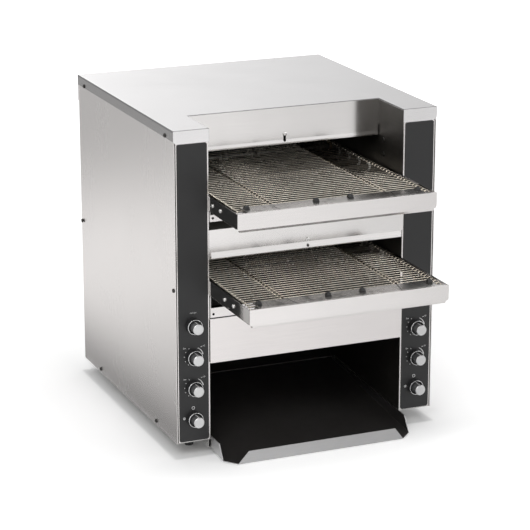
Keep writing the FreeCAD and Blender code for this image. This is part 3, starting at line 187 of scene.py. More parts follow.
def emptied(owner):
    """The node tree of a material or world, with nothing in it."""
    owner.use_nodes = True
    owner.node_tree.nodes.clear()
    return owner.node_tree


def seen_directly(tree):
    """1 for camera, mirror and glass rays, 0 for the rays that carry light."""
    path = node(tree, "LightPath")
    either = maths(tree, "MAXIMUM", path.outputs["Is Camera Ray"], path.outputs["Is Glossy Ray"])
    return maths(tree, "MAXIMUM", either, path.outputs["Is Transmission Ray"])


print("shader helpers ready")


# %% World
WORLD_LIGHT = 0.5  # share of the sky that also lights matt surfaces
CEILING = 0.25  # level straight overhead
CEILING_RISE = (0.42, 0.72)  # heights of a direction between which the sky dims
BACK_SPAN = (0.27, 0.45)  # from left to right behind the toaster, the part that the roof mirrors
BACK_GAIN = (0.45, -0.20)
BACK_DEPTH = (0.5, 0.8)

world = bpy.data.worlds.new("studio")
scene.world = world
sky = emptied(world)
toward = parts_of(sky, coordinate(sky, "Generated"))
dome = ranged(sky, toward["Z"], *CEILING_RISE, 1.0, CEILING)
slope = ranged(sky, toward["X"], *BACK_SPAN, *BACK_GAIN)
behind = ranged(sky, toward["Y"], *BACK_DEPTH, 0.0, 1.0)
dome = times(sky, dome, plus(sky, 1.0, times(sky, slope, behind)))
share = plus(sky, times(sky, seen_directly(sky), 1 - WORLD_LIGHT), WORLD_LIGHT)
to_camera = node(sky, "LightPath").outputs["Is Camera Ray"]
strength = maths(sky, "MAXIMUM", times(sky, dome, share), to_camera)
background = node(sky, "Background", {"Color": (1, 1, 1, 1), "Strength": strength})
node(sky, "OutputWorld", {"Surface": background.outputs[0]})
print("sky:", CEILING, "overhead and 1 at the horizon")


# %% Floor
FLOOR_HALF = 14
FLOOR_GREY = 0.82
# The steps paint the casing's shadow on the floor: darker close to the casing.
FLOOR_STEPS = (  # distance from the casing, and how bright the camera sees the floor there
    (0.0, 0.02), (0.01, 0.25), (0.03, 0.24), (0.045, 0.275),
    (0.08, 0.31), (0.12, 0.34), (0.20, 0.40), (0.60, 0.52),
)
FAR_FLOOR = (0.9, 3.2)  # distances between which the far floor brightens
FAR_FLOOR_SEEN = 0.4
# Painted light: the floor is lifted in front of the casing, where the tray stands.
TRAY_FLOOR = (0.06, 0.2)  # in front of the casing, where the tray stands
TRAY_FLOOR_SEEN = 0.2
FLOOR_MIRRORED = 0.24  # what reflections see
FRONT_LEAN = 0.42  # fronts mirror the floor ahead of them, brighter on the left
FRONT_HALF = 0.25
FRONT_SLANT = 0.13


def flat_sheet(name, x0, x1, y0, y1, z):
    """One level rectangle that belongs to the studio."""
    made = drawn(name, [(x0, y0, z), (x1, y0, z), (x1, y1, z), (x0, y1, z)], faces=[(0, 1, 2, 3)])
    return made


def beside_casing(tree, spot):
    """Distance of a floor spot from the casing's outline, 0 under it."""
    low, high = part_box("roof_lid")
    middle = ((low.x + high.x) / 2, (low.y + high.y) / 2, 0)
    half = ((high.x - low.x) / 2, (high.y - low.y) / 2, 1)
    away = vectors(tree, "ABSOLUTE", vectors(tree, "SUBTRACT", spot, middle))
    outside = vectors(tree, "MAXIMUM", vectors(tree, "SUBTRACT", away, half), (0, 0, 0))
    return vectors(tree, "LENGTH", outside, out="Value")


paper = bpy.data.materials.new("studio_paper")
tree = emptied(paper)
path = node(tree, "LightPath").outputs
mirrored = maths(tree, "MAXIMUM", path["Is Glossy Ray"], path["Is Transmission Ray"])
spot = coordinate(tree, "Object")
front_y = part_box("roof_lid")[0].y
reach = FLOOR_STEPS[-1][0]
steps = node(tree, "ValToRGB", {0: maths(tree, "DIVIDE", beside_casing(tree, spot), reach)})
for place, level in FLOOR_STEPS[1:-1]:
    steps.color_ramp.elements.new(place / reach)
for element, (place, level) in zip(steps.color_ramp.elements, FLOOR_STEPS):
    element.color = (level, level, level, 1)
away = vectors(tree, "LENGTH", spot, out="Value")
far = ranged(tree, away, *FAR_FLOOR, 0.0, FAR_FLOOR_SEEN, interpolation_type="SMOOTHSTEP")
ahead = parts_of(tree, spot)
tray_side = ranged(tree, ahead["Y"], *(front_y - value for value in TRAY_FLOOR), 0.0, TRAY_FLOOR_SEEN)
seen = plus(tree, plus(tree, steps.outputs[0], far), tray_side)
across = plus(tree, ahead["X"], times(tree, maths(tree, "SUBTRACT", ahead["Y"], front_y), FRONT_LEAN))
slant = ranged(tree, across, -FRONT_HALF, FRONT_HALF, FRONT_SLANT, -FRONT_SLANT)
slant = times(tree, slant, maths(tree, "LESS_THAN", ahead["Y"], front_y))
lift = times(tree, path["Is Camera Ray"], seen)
lift = plus(tree, lift, times(tree, mirrored, plus(tree, slant, FLOOR_MIRRORED)))
sheet = node(tree, "BsdfPrincipled", {
    "Base Color": (FLOOR_GREY, FLOOR_GREY, FLOOR_GREY, 1),
    "Roughness": 0.9,
    "Specular IOR Level": 0.0,
    "Emission Color": (1, 1, 1, 1),
    "Emission Strength": lift,
})
node(tree, "OutputMaterial", {"Surface": sheet.outputs[0]})
floor = flat_sheet("floor", -FLOOR_HALF, FLOOR_HALF, -FLOOR_HALF, FLOOR_HALF, 0)
floor.data.materials.append(paper)
print("floor with", len(FLOOR_STEPS), "steps of shade round the casing")


# %% Lamps and a graded card
MIDDLE = (0, 0.05, 0.3)  # what the lamps aim at
CARD = (-1.7, -0.27, -0.25, 3.2, 0.0004)  # from left to right, from front to back, height
CARD_NEAR = (-0.27, -0.41, 0.32, 1.0)  # across the card: from, to, level there
CARD_RISE = (-0.05, 0.95, 0.63, 1.03)  # along the card, the same way
CARD_FALL = (1.15, 2.2, 1.0, 0.52)


def lamp(name, place, size, power):
    """A square soft box."""
    data = bpy.data.lights.new(name, "AREA")
    data.shape = "SQUARE"
    data.size = size
    data.energy = power
    box = linked(name, data)
    box.location = place
    box.rotation_euler = (Vector(place) - Vector(MIDDLE)).to_track_quat("Z", "Y").to_euler()


lamp("key_box", (-2.2, -2.6, 3.4), 2.4, 90)
lamp("fill_box", (3.0, -2.4, 2.2), 2.4, 40)
lamp("top_box", (0.3, 0.6, 3.6), 2.6, 45)
lamp("rear_box", (0.05, 3.2, 1.5), 1.0, 4)

card = flat_sheet("graded_card", *CARD)
card.visible_camera = card.visible_diffuse = card.visible_shadow = card.visible_transmission = False
board = bpy.data.materials.new("graded_board")
tree = emptied(board)
spot = parts_of(tree, coordinate(tree, "Object"))
near = ranged(tree, spot["X"], *CARD_NEAR)
rise = ranged(tree, spot["Y"], *CARD_RISE, interpolation_type="SMOOTHSTEP")
fall = ranged(tree, spot["Y"], *CARD_FALL, interpolation_type="SMOOTHSTEP")
strength = times(tree, near, times(tree, rise, fall))
glow = node(tree, "Emission", {"Color": (1, 0.995, 0.985, 1), "Strength": strength})
node(tree, "OutputMaterial", {"Surface": glow.outputs[0]})
card.data.materials.append(board)
print("four soft boxes and a card")


# %% [markdown]
# ## Finishes
# Most of this object is brushed sheet steel. Its look comes from three shared effects, built
# once as node groups: a fine directional grain, broad handling marks that change the gloss,
# and rounded edges with painted light on them, brighter or darker by a factor. Each material
# places them with its own values.

# %% Shared effects
FLOAT, VECTOR = "NodeSocketFloat", "NodeSocketVector"
FINE_SHARE = 0.85  # of the grain's tone; the rest is broad streaks
BROAD_SCALE = 0.12


def effect(name, inputs, outputs):
    """An empty shader group with named sockets."""
    group = bpy.data.node_groups.new(name, "ShaderNodeTree")
    for label, kind, value in inputs:
        socket = group.interface.new_socket(label, in_out="INPUT", socket_type=kind)
        socket.default_value = value
    for label, kind in outputs:
        group.interface.new_socket(label, in_out="OUTPUT", socket_type=kind)
    entry = group.nodes.new("NodeGroupInput").outputs
    leave = group.nodes.new("NodeGroupOutput").inputs
    return group, entry, leave


grain, entry, leave = effect(
    "brushed_grain",
    [("Stretch", VECTOR, (1, 1, 1)), ("Scale", FLOAT, 1.0)],
    [("Tone", FLOAT), ("Height", FLOAT)],
)
stretched = vectors(grain, "MULTIPLY", coordinate(grain, "Object"), entry["Stretch"])
fine = node(grain, "TexNoise", {
    "Vector": stretched, "Scale": entry["Scale"], "Detail": 3.0, "Roughness": 0.6,
})
broad = node(grain, "TexNoise", {
    "Vector": stretched, "Scale": times(grain, entry["Scale"], BROAD_SCALE), "Detail": 2.0,
})
both = plus(grain, times(grain, fine.outputs[0], FINE_SHARE), times(grain, broad.outputs[0], 1 - FINE_SHARE))
grain.links.new(fine.outputs[0], leave["Height"])
grain.links.new(both, leave["Tone"])

marks, entry, leave = effect("handling_marks", [("Scale", FLOAT, 6.0)], [("Mask", FLOAT)])
cloud = node(marks, "TexNoise", {
    "Vector": coordinate(marks, "Object"), "Scale": entry["Scale"], "Detail": 5.0, "Roughness": 0.55,
})
marks.links.new(ranged(marks, cloud.outputs[0], 0.35, 0.7, 0.0, 1.0), leave["Mask"])

# Rounded edges, with a mask for the painted light that finish puts on them.
edges, entry, leave = effect("painted_edge_light", [("Radius", FLOAT, 0.6 * MM)], [("Mask", FLOAT), ("Normal", VECTOR)])
rounded = node(edges, "Bevel", {"Radius": entry["Radius"]}, samples=6)
facing = node(edges, "NewGeometry").outputs["Normal"]
turn = vectors(edges, "DOT_PRODUCT", rounded.outputs[0], facing, out="Value")
edges.links.new(ranged(edges, turn, 0.99, 0.8, 0.0, 1.0), leave["Mask"])
edges.links.new(rounded.outputs[0], leave["Normal"])
print("shared effects:", grain.name, marks.name, edges.name)


# %% A material from those effects
paint = {}  # each finish by its name
BUMP_HEIGHT = 0.1 * MM
TONE_MIDDLE, TONE_SPAN = 0.5, (0.3, 0.7)


def finish(name, color, roughness, metallic=1.0, stretch=(1, 1, 1), scale=900, streak=0.08, grain_bump=0.05,
           smudge=0.06, smudge_scale=6.0, painted_edge_tone=1.15, edge_radius=0.5 * MM, extra=None):
    """A Principled material: grain varies the colour and height, marks the gloss, and the edges get painted light by
    their factor.
    """
    made = bpy.data.materials.new(name)
    tree = emptied(made)
    lines = node(tree, "Group", {"Stretch": stretch, "Scale": scale}, node_tree=grain).outputs
    touch = node(tree, "Group", {"Scale": smudge_scale}, node_tree=marks).outputs[0]
    rim = node(tree, "Group", {"Radius": edge_radius}, node_tree=edges).outputs
    level = ranged(tree, lines["Tone"], *TONE_SPAN, 1 - streak, 1 + streak)
    level = times(tree, level, plus(tree, 1.0, times(tree, touch, -smudge)))
    # Painted light on the edges: brighter where the factor is above 1, darker where it is below.
    level = times(tree, level, plus(tree, 1.0, times(tree, rim["Mask"], painted_edge_tone - 1)))
    if extra:
        level = times(tree, level, extra(tree))
    uneven = times(tree, maths(tree, "SUBTRACT", lines["Tone"], TONE_MIDDLE), streak)
    bump = node(tree, "Bump", {
        "Strength": grain_bump,
        "Distance": BUMP_HEIGHT,
        "Height": lines["Height"],
        "Normal": rim["Normal"],
    })
    shader = node(tree, "BsdfPrincipled", {
        "Base Color": scaled(tree, tuple(color), level),
        "Roughness": plus(tree, plus(tree, roughness, times(tree, touch, smudge)), uneven),
        "Metallic": metallic,
        "Normal": bump.outputs[0],
    })
    node(tree, "OutputMaterial", {"Surface": shader.outputs[0]})
    paint[name] = made


print("a finish takes its colour, its gloss and how its grain lies")


# %% [markdown]
# ### Sheet steel
# A mill brushes stainless sheet along one direction. The skins and columns are brushed up
# and down, and the lid and the panels that face the user from side to side, so the steels
# differ in how their grain is stretched. The lid and the rails also have base colours darker
# than the skins', which is painted shade. Where one sheet shows two tones, at a fold, in a
# groove or on faces that lie level under a belt, a small function gives a factor from where
# the surface lies or faces; at the lid's folds and front edge and in the grooves, that factor
# is painted light.

# %% Tones that depend on where a sheet lies or faces
FACING = (0.8, 0.95)  # a normal's part along an axis: turned away, and square to it
FACING_FRONT = (-0.95, -0.8)
FACING_GROOVE = (0.7, 0.9)
# Painted light on the lid: shade on its side flanges and bends, a highlight on its front edge.
FLANGE_SHADE = 0.66
FRONT_HIGHLIGHT = 1.3
BEND_SHADE = 0.6
LID_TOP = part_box("roof_lid")[1].z
# The band along the top of the side flanges gets painted shade.
LID_EDGE = (LID_TOP - 3.6 * MM, LID_TOP - 2.4 * MM)  # the bend along the side flanges
LID_EDGE_SHADE = 0.5
GROOVE_TONE = 0.06
# How much darker the level faces under the belts are.
LEVEL_FACE_TONE = 0.15
STAIN_TONE = 0.45
SEAM_X = 167.5 * MM  # where the slanted seams would cross y = 0
SEAM_LEAN = 0.2
SEAM_WIDTH = (0.7 * MM, 1.4 * MM)  # half the dark line, and to its soft border
SEAM_TONE = 0.25


def lid_painted_light(tree):
    """Painted light on the lid: painted shade on its side flanges, a painted highlight on its front edge, and
    painted shade on its bends and along the top of its side flanges, for the dim ceiling they would mirror.
    """
    facing = parts_of(tree, coordinate(tree, "Normal"))
    sideways = maths(tree, "ABSOLUTE", facing["X"])
    flange = ranged(tree, sideways, *FACING, 1.0, FLANGE_SHADE)
    front = ranged(tree, facing["Y"], *FACING_FRONT, FRONT_HIGHLIGHT, 1.0)
    leaves_side = ranged(tree, facing["Z"], 0.05, 0.25, 0.0, BEND_SHADE)
    near_top = ranged(tree, facing["Z"], 0.93, 0.99, 1.0, 0.0)
    bend = maths(tree, "SUBTRACT", 1.0, times(tree, leaves_side, near_top))
    height = parts_of(tree, coordinate(tree, "Object"))["Z"]
    upper_edge = ranged(tree, height, *LID_EDGE, 0.0, LID_EDGE_SHADE)
    side_bend = times(tree, upper_edge, maths(tree, "GREATER_THAN", sideways, 0.3))
    return times(tree, flange, front, bend, maths(tree, "SUBTRACT", 1.0, side_bend))


def inside_dark(sign):
    """Sheet faces that look into the groove beside a column (sign -1: inwards, 1: outwards) lie in the dark."""
    def level(tree):
        facing = parts_of(tree, coordinate(tree, "Normal"))["X"]
        side = maths(tree, "SIGN", parts_of(tree, coordinate(tree, "Object"))["X"])
        return ranged(tree, times(tree, facing, side, sign), *FACING_GROOVE, 1.0, GROOVE_TONE)
    return level


def level_faces_darker(tree):
    """Darkens the faces that lie level under the belts."""
    return ranged(tree, parts_of(tree, coordinate(tree, "Normal"))["Z"], *FACING, 1.0, LEVEL_FACE_TONE)


def smears(tree):
    """Baked-on smears, and the two seams where the apron's three strips meet."""
    spot = coordinate(tree, "Object")
    ahead = parts_of(tree, spot)
    cloud = node(tree, "TexNoise", {"Vector": spot, "Scale": 38.0, "Detail": 4.0, "Roughness": 0.6})
    stain = ranged(tree, cloud.outputs[0], 0.54, 0.68, 1.0, STAIN_TONE)
    seam_here = plus(tree, SEAM_X, times(tree, ahead["Y"], SEAM_LEAN))
    offset = maths(tree, "SUBTRACT", maths(tree, "ABSOLUTE", ahead["X"]), seam_here)
    seam = ranged(tree, maths(tree, "ABSOLUTE", offset), *SEAM_WIDTH, SEAM_TONE, 1.0)
    return times(tree, stain, seam)


print("tones for the lid, the grooves, the hood and the aprons")


# %% Steels
ALONG_X = (0.02, 1, 1)
ALONG_Y = (1, 0.02, 1)
ALONG_Z = (1, 1, 0.008)
PANEL = dict(stretch=ALONG_X, streak=0.03, smudge=0.03)

finish("skin_steel", (0.74, 0.714, 0.707), 0.26, stretch=ALONG_Z, scale=1700, streak=0.022, smudge=0.02,
       extra=inside_dark(-1))
# The lid's base colour, darker than the skin's, and its darkened edges are painted shade.
finish("lid_steel", (0.61, 0.60, 0.602), 0.22, **PANEL, edge_radius=1.2 * MM, painted_edge_tone=0.55, extra=lid_painted_light)
finish("front_steel", (0.76, 0.735, 0.725), 0.20, **PANEL)
finish("lip_steel", (0.47, 0.468, 0.47), 0.30, stretch=ALONG_X, streak=0.04, smudge=0.04)
finish("column_steel", (0.76, 0.735, 0.725), 0.20, stretch=ALONG_Z, streak=0.03, smudge=0.03, extra=inside_dark(1))
finish("hood_steel", (0.74, 0.708, 0.70), 0.20, **PANEL, extra=level_faces_darker)
# The headers' edges get painted shade.
finish("header_steel", (0.75, 0.73, 0.72), 0.12, **PANEL, painted_edge_tone=0.7)
finish("bright_steel", (0.70, 0.69, 0.68), 0.16, scale=500, streak=0.04)
# The rails' base colour, far darker than the other steels', is painted shade: the rails lie in shadow.
finish("rail_steel", (0.40, 0.39, 0.38), 0.06, stretch=ALONG_Y, scale=700, streak=0.03, smudge=0.03)
finish("hidden_steel", (0.52, 0.515, 0.50), 0.34, stretch=ALONG_Y, scale=700, streak=0.06, smudge=0.10)
finish("apron_steel", (0.58, 0.565, 0.545), 0.20, stretch=ALONG_X, scale=700, streak=0.05, smudge=0.12,
       smudge_scale=18.0, extra=smears)
finish("dark_steel", (0.085, 0.080, 0.073), 0.40, stretch=ALONG_Y, scale=500, streak=0.15, smudge=0.2)
print("steels ready")


# %% Coatings, plastics and the rest
# Painted shade on the return run's wires.
RETURN_RUN_SHADE = 0.93
RING_PITCH = 1.9 * MM
RING_TONE, RING_DEPTH = 0.94, 0.07


def return_run_shade(tree):
    """Painted shade on the wires that hang on the return run, in the shade under the top run; the belt marks them.
    """
    run_shade = node(tree, "Attribute", attribute_name="return_run").outputs["Fac"]
    return maths(tree, "SUBTRACT", 1.0, times(tree, run_shade, RETURN_RUN_SHADE))


def lathe_rings(tree):
    """The fine rings that turning leaves on a knob's face, from the face's own radius attribute."""
    radius = node(tree, "Attribute", attribute_name="face_radius").outputs["Fac"]
    wave = maths(tree, "SINE", times(tree, radius, 2 * pi / RING_PITCH))
    return plus(tree, RING_TONE, times(tree, wave, RING_DEPTH))


# The black plates' edges get a painted highlight.
finish("black_plate", (0.0115, 0.0115, 0.0120), 0.40, 0.0, scale=1600, streak=0.06, grain_bump=0.12, painted_edge_tone=1.6)
# The coated tray's folds get a strong painted highlight.
finish("nonstick", (0.026, 0.024, 0.023), 0.32, 0.0, streak=0.12, grain_bump=0.10, smudge=0.25, painted_edge_tone=5.0,
       edge_radius=1.0 * MM)
finish("wire_steel", (0.80, 0.74, 0.64), 0.22, scale=260, smudge=0.10, smudge_scale=9.0, extra=return_run_shade)
finish("knob_face", (0.66, 0.66, 0.66), 0.26, streak=0.03, extra=lathe_rings)
finish("knob_body", (0.20, 0.20, 0.205), 0.34, 0.6, streak=0.05, grain_bump=0.1)
finish("knob_line", (0.78, 0.78, 0.77), 0.45, 0.0, streak=0.02, painted_edge_tone=1.0)
finish("print_white", (0.85, 0.85, 0.84), 0.50, 0.0, scale=2500, streak=0.10, painted_edge_tone=1.0)
finish("chrome", (0.88, 0.88, 0.88), 0.16, scale=400, streak=0.02)
finish("screw_dark", (0.055, 0.053, 0.05), 0.34, scale=500, streak=0.10, smudge=0.1)
finish("rubber", (0.020, 0.020, 0.021), 0.62, 0.0, scale=700, streak=0.12, grain_bump=0.2, painted_edge_tone=1.5)
finish("black_plastic", (0.020, 0.020, 0.021), 0.42, 0.0, grain_bump=0.12)
finish("element_sheath", (0.13, 0.115, 0.10), 0.55, scale=350, streak=0.2, smudge=0.3, smudge_scale=14)
finish("ceramic", (0.74, 0.72, 0.67), 0.5, 0.0, scale=600, streak=0.05, smudge=0.1, painted_edge_tone=1.05)
finish("bronze", (0.46, 0.30, 0.16), 0.40, scale=500, streak=0.10)
finish("motor_paint", (0.20, 0.21, 0.22), 0.45, 0.0, scale=700, streak=0.06, grain_bump=0.15)
finish("sprocket_steel", (0.35, 0.34, 0.33), 0.36, scale=500, streak=0.12, smudge=0.2)
print("coatings and plastics ready")


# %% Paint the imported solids
by_slot = {  # the other slots have a finish of their own name
    "stainless": "skin_steel", "bushing_bronze": "bronze", "bezel_chrome": "chrome", "belt_wire": "wire_steel",
    "nonstick_tray": "nonstick", "knob_satin": "knob_face", "foot_rubber": "rubber", "ceramic_white": "ceramic",
    "motor_grey": "motor_paint",
}
painted_alike = {
    "lid_steel": "roof_lid",
    "column_steel": "column_left column_right",
    "front_steel": "upper_guard lower_guard",
    "hood_steel": "discharge_hood",
    "header_steel": "upper_header lower_header upper_door lower_door",
    "apron_steel": "belt_aprons",
    "nonstick": "rear_chute",
    "hidden_steel": "base_pan rear_panel",
    # The reflector and the divider inside the chambers take the dark steel as painted shade.
    "dark_steel": "upper_reflector chamber_divider",
    "black_plate": "nose_shoes",
}
by_node = {name: kind for kind, names in painted_alike.items() for name in names.split()}
slot_of = {part["node"]: part["material_slot"] for part in frame["record"]["subparts"]}
for name, piece in nodes.items():
    piece.data.materials.clear()
    slot = slot_of[name]
    piece.data.materials.append(paint[by_node.get(name, by_slot.get(slot, slot))])
print(len(nodes), "nodes painted,", len(by_node), "of them in their own way")


# %% [markdown]
# ## Wire belts
# Each belt is woven from flat bent wires. A wire runs straight across, and at four places
# (both edges and two inner joints) it turns forwards, passes over the wire in front and
# hooks back under that wire's own legs. Modelled by hand that is hundreds of bends, but every
# wire is the same, so one bent wire is drawn and Geometry Nodes repeat it along the belt's
# length and wrap the flat belt round the two shafts.

# %% Geometry Nodes helpers
def geometry_tree(name, sockets):
    """A geometry tree whose first input and output are the geometry."""
    tree = bpy.data.node_groups.new(name, "GeometryNodeTree")
    tree.interface.new_socket("Geometry", in_out="INPUT", socket_type="NodeSocketGeometry")
    for label, kind in sockets:
        tree.interface.new_socket(label, in_out="INPUT", socket_type=f"NodeSocket{kind}")
    tree.interface.new_socket("Geometry", in_out="OUTPUT", socket_type="NodeSocketGeometry")
    return tree, tree.nodes.new("NodeGroupInput").outputs, tree.nodes.new("NodeGroupOutput").inputs


def kept_mesh(made, name):
    """What an object's modifiers or curves make, as a plain mesh."""
    bpy.context.view_layer.update()
    mesh = bpy.data.meshes.new_from_object(made.evaluated_get(bpy.context.evaluated_depsgraph_get()))
    mesh.name = name
    return mesh


def grown(host, name, *steps):
    """Runs geometry trees on a host object and keeps the result as a plain mesh object."""
    for tree, values in steps:
        step = host.modifiers.new(tree.name, "NODES")
        step.node_group = tree
        for item in tree.interface.items_tree:
            if item.item_type == "SOCKET" and item.in_out == "INPUT" and item.name in values:
                step[item.identifier] = values[item.name]
    made = linked(name, kept_mesh(host, name))
    host.modifiers.clear()
    bpy.data.objects.remove(host)
    print(name, len(made.data.polygons), "faces")
    return made


def geometry(tree, kind, inputs=(), **settings):
    """The outputs of a new geometry node."""
    return node(tree, kind, inputs, "Geometry", **settings).outputs


def ends_painted(tree, shape, material, leave):
    """Closes a geometry tree with its material."""
    painted = geometry(tree, "SetMaterial", {"Geometry": shape, "Material": material})
    tree.links.new(painted[0], leave["Geometry"])


def joined(made, others):
    """Adds the meshes of other objects to an object and removes them."""
    work = bmesh.new()
    for piece in (made, *others):
        work.from_mesh(piece.data)
    work.to_mesh(made.data)
    work.free()
    for piece in others:
        bpy.data.objects.remove(piece)


def dressed(made, body, node_name):
    """Attaches a piece to the body it rides and hides the node that it replaces."""
    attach(made, body)
    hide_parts(node_name)


print("geometry helpers ready")


# %% A tree that turns a line into wire, and one that wraps copies round a loop
wire, entry, leave = geometry_tree("wire_from_line", [("Radius", "Float"), ("Sides", "Int")])
line = geometry(wire, "MeshToCurve", {0: entry["Geometry"]})[0]
ring = geometry(wire, "CurvePrimitiveCircle", {"Resolution": entry["Sides"], "Radius": entry["Radius"]})[0]
tube = geometry(wire, "CurveToMesh", {"Curve": line, "Profile Curve": ring, "Fill Caps": True})[0]
wire.links.new(tube, leave["Geometry"])

wrap, entry, leave = geometry_tree("wrap_round_loop", [
    ("Loop", "Object"), ("Pitch", "Float"), ("Count", "Int"), ("Axis Height", "Float"), ("Material", "Material"),
])
step = node(wrap, "CombineXYZ", {"Y": entry["Pitch"]}).outputs[0]
row = geometry(wrap, "MeshLine", {"Count": entry["Count"], "Offset": step})[0]
copies = geometry(wrap, "InstanceOnPoints", {"Points": row, "Instance": entry["Geometry"]})[0]
flat = geometry(wrap, "RealizeInstances", {0: copies})[0]
loop = geometry(wrap, "ObjectInfo", {"Object": entry["Loop"]})["Geometry"]
path = geometry(wrap, "MeshToCurve", {0: loop})[0]
around = geometry(wrap, "CurveLength", {0: path})[0]
at = parts_of(wrap, geometry(wrap, "InputPosition")[0])
along = maths(wrap, "FLOORED_MODULO", at["Y"], around)
spot = geometry(wrap, "SampleCurve", {"Curves": path, "Length": along}, mode="LENGTH", use_all_curves=True)
out = vectors(wrap, "CROSS_PRODUCT", (1, 0, 0), spot["Tangent"])
placed = vectors(wrap, "ADD", spot["Position"], scaled(wrap, out, at["Z"]))
aside = node(wrap, "CombineXYZ", {"X": at["X"]}).outputs[0]
placed = vectors(wrap, "ADD", placed, aside)
wrapped = geometry(wrap, "SetPosition", {"Geometry": flat, "Position": placed})[0]
height = parts_of(wrap, geometry(wrap, "InputPosition")[0])["Z"]
below = maths(wrap, "LESS_THAN", height, entry["Axis Height"])
marked = geometry(
    wrap, "StoreNamedAttribute", {"Geometry": wrapped, "Name": "return_run", "Value": below},
    data_type="FLOAT", domain="POINT",
)[0]
ends_painted(wrap, marked, entry["Material"], leave)
print("trees:", wire.name, wrap.name)


# %% One bent wire, in millimetres
PITCH = 11.65
WIRE_RADIUS, WIRE_SIDES = 0.72, 5
WIRE = 2 * WIRE_RADIUS
BELT_HALF = 180.0
JOINT_X = 106.9
JOINT_ROOT, JOINT_TIP = 1.6, 3.8  # half a joint's width where its loop starts, and at its front end
LEFT_RISE, RIGHT_RISE = 0.6, 0.9  # how far the edge hooks stand up


def hook(x, side):
    """Half of a joint's loop: the leg widens forwards, so it passes over the next wire and under it."""
    root, tip = x + side * JOINT_ROOT, x + side * JOINT_TIP
    return [
        (root + side * 1.2, 0, 0), (root, -1.0, 0), ((root + tip) / 2, -PITCH * 0.5, WIRE * 0.4),
        (tip, -PITCH + 1.0, WIRE * 0.9), (tip, -PITCH - 1.2, WIRE * 0.5),
        (tip - side * 1.0, -PITCH - 1.9, -WIRE * 0.5),
    ]


def edge_hook(rise):
    """The right end of a wire: it rises, runs forwards over the next wire and curls under it."""
    return [
        (BELT_HALF - 7.5, 0, 0), (BELT_HALF - 1.0, 0, rise), (BELT_HALF - 1.0, -PITCH * 0.6, rise * 0.8),
        (BELT_HALF - 2.4, -PITCH, rise * 0.6), (BELT_HALF - 5.0, -PITCH - 1.6, 0),
        (BELT_HALF - 7.0, -PITCH - 0.6, -1.6),
    ]


def bent_wire():
    """The whole wire from its left edge hook to its right one."""
    line = [(-x, y, z) for x, y, z in reversed(edge_hook(LEFT_RISE))]
    for x in (-JOINT_X, JOINT_X):
        line += hook(x, -1) + hook(x, 1)[::-1]
    return [(x * MM, y * MM, z * MM) for x, y, z in line + edge_hook(RIGHT_RISE)]


def line_mesh(name, points):
    """An object that holds one open line of points."""
    return drawn(name, points, edges=[(index, index + 1) for index in range(len(points) - 1)])


print("one wire of", len(bent_wire()), "points")


# %% Both belts
LOOP_STEPS = 20  # on each half turn


def loop_path(y0, y1, z, radius):
    """A stadium round two shafts, from above the first shaft backwards and round."""
    points = [(0, y0, z + radius)]
    for y, start in ((y1, 0), (y0, pi)):
        for index in range(LOOP_STEPS + 1):
            angle = start + pi * index / LOOP_STEPS
            points.append((0, y + radius * sin(angle), z + radius * cos(angle)))
    return points


def belt(deck):
    """A woven belt in the place of the solid one."""
    low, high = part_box(f"{deck}_belt")
    outer = (high.z - low.z) / 2
    middle = (high.z + low.z) / 2
    radius = outer - 1.0 * MM
    pitch = PITCH * MM
    links = round((2 * (high.y - low.y - 2 * outer) + 2 * pi * radius) / pitch)
    path = line_mesh("loop", loop_path(low.y + outer, high.y - outer, middle, radius))
    made = grown(
        line_mesh("wire", bent_wire()),
        f"{deck}_wire_belt",
        (wire, {"Radius": WIRE_RADIUS * MM, "Sides": WIRE_SIDES}),
        (wrap, {
            "Loop": path, "Pitch": pitch, "Count": links, "Axis Height": middle, "Material": paint["wire_steel"],
        }),
    )
    bpy.data.objects.remove(path)
    dressed(made, "casing", f"{deck}_belt")
    print(deck, "belt of", links, "wires")


belt("upper")
belt("lower")


# %% [markdown]
# ## Control knobs
# Each control is a dark body with fine grip flutes, closed by a satin disc that has a notch
# in its rim for a pointer. Both are turned shapes, so one function spins a profile, and the
# radius may change with the angle: that gives the flutes and the notch without any cutting.

# %% A turned shape
def turned(name, profile, centre, segments, materials, change_at=None, shape=lambda radius, angle, ring: radius):
    """Spins (radius, distance in front of the column), in millimetres, round an axis along y.

    Faces take the first material, and from profile point change_at on the second."""
    work = bmesh.new()
    rings = []
    for index, (radius, out) in enumerate(profile):
        ring = []
        for step in range(segments if radius else 1):
            angle = 2 * pi * step / segments
            reach = shape(radius, angle, index) * MM if radius else 0
            x, z = reach * sin(angle), reach * cos(angle)
            ring.append(work.verts.new((centre.x + x, centre.y - out * MM, centre.z + z)))
        rings.append(ring)
    for index, (a, b) in enumerate(zip(rings, rings[1:]), 1):
        for step in range(segments):
            after = (step + 1) % segments
            corners = [a[step % len(a)], a[after % len(a)], b[after % len(b)], b[step % len(b)]]
            face = work.faces.new([v for place, v in enumerate(corners) if v not in corners[:place]])
            face.material_index = int(change_at is not None and index >= change_at)
    return closed(work, name, materials)


print("turned shapes ready")


# %% The seven knobs, in millimetres
FACE_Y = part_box("control_plate_left")[0].y
FLUTES, FLUTE_DEPTH = 20, 0.45
SEGMENTS = 80
KNOB_R = 9.7
NOTCH_DEPTH, NOTCH_HALF = 2.2, 0.12  # the half width is an angle in radians
GRIP_RINGS, RIM_RINGS = (3, 4, 5), (7, 8)  # profile points with the flutes, and with the notch
KNOB_ROOT = 3.4  # gap between the plate and the grip
SPINDLE_R = 3.0
LINE_HALF, LINE_FROM = 0.5, 4.0  # pointer line on the grip's top
knob_names = [name for name in sorted(nodes) if name.startswith(("knob_left_", "knob_right_"))]
knob_places = []


def knob_shape(radius, angle, ring):
    """Flutes on the body's rings, and a notch at the top of the disc's rim."""
    if ring in GRIP_RINGS:
        return radius - FLUTE_DEPTH * abs(sin(FLUTES * angle / 2)) ** 3
    near_top = min(angle, 2 * pi - angle) < NOTCH_HALF
    return radius - NOTCH_DEPTH if near_top and ring in RIM_RINGS else radius


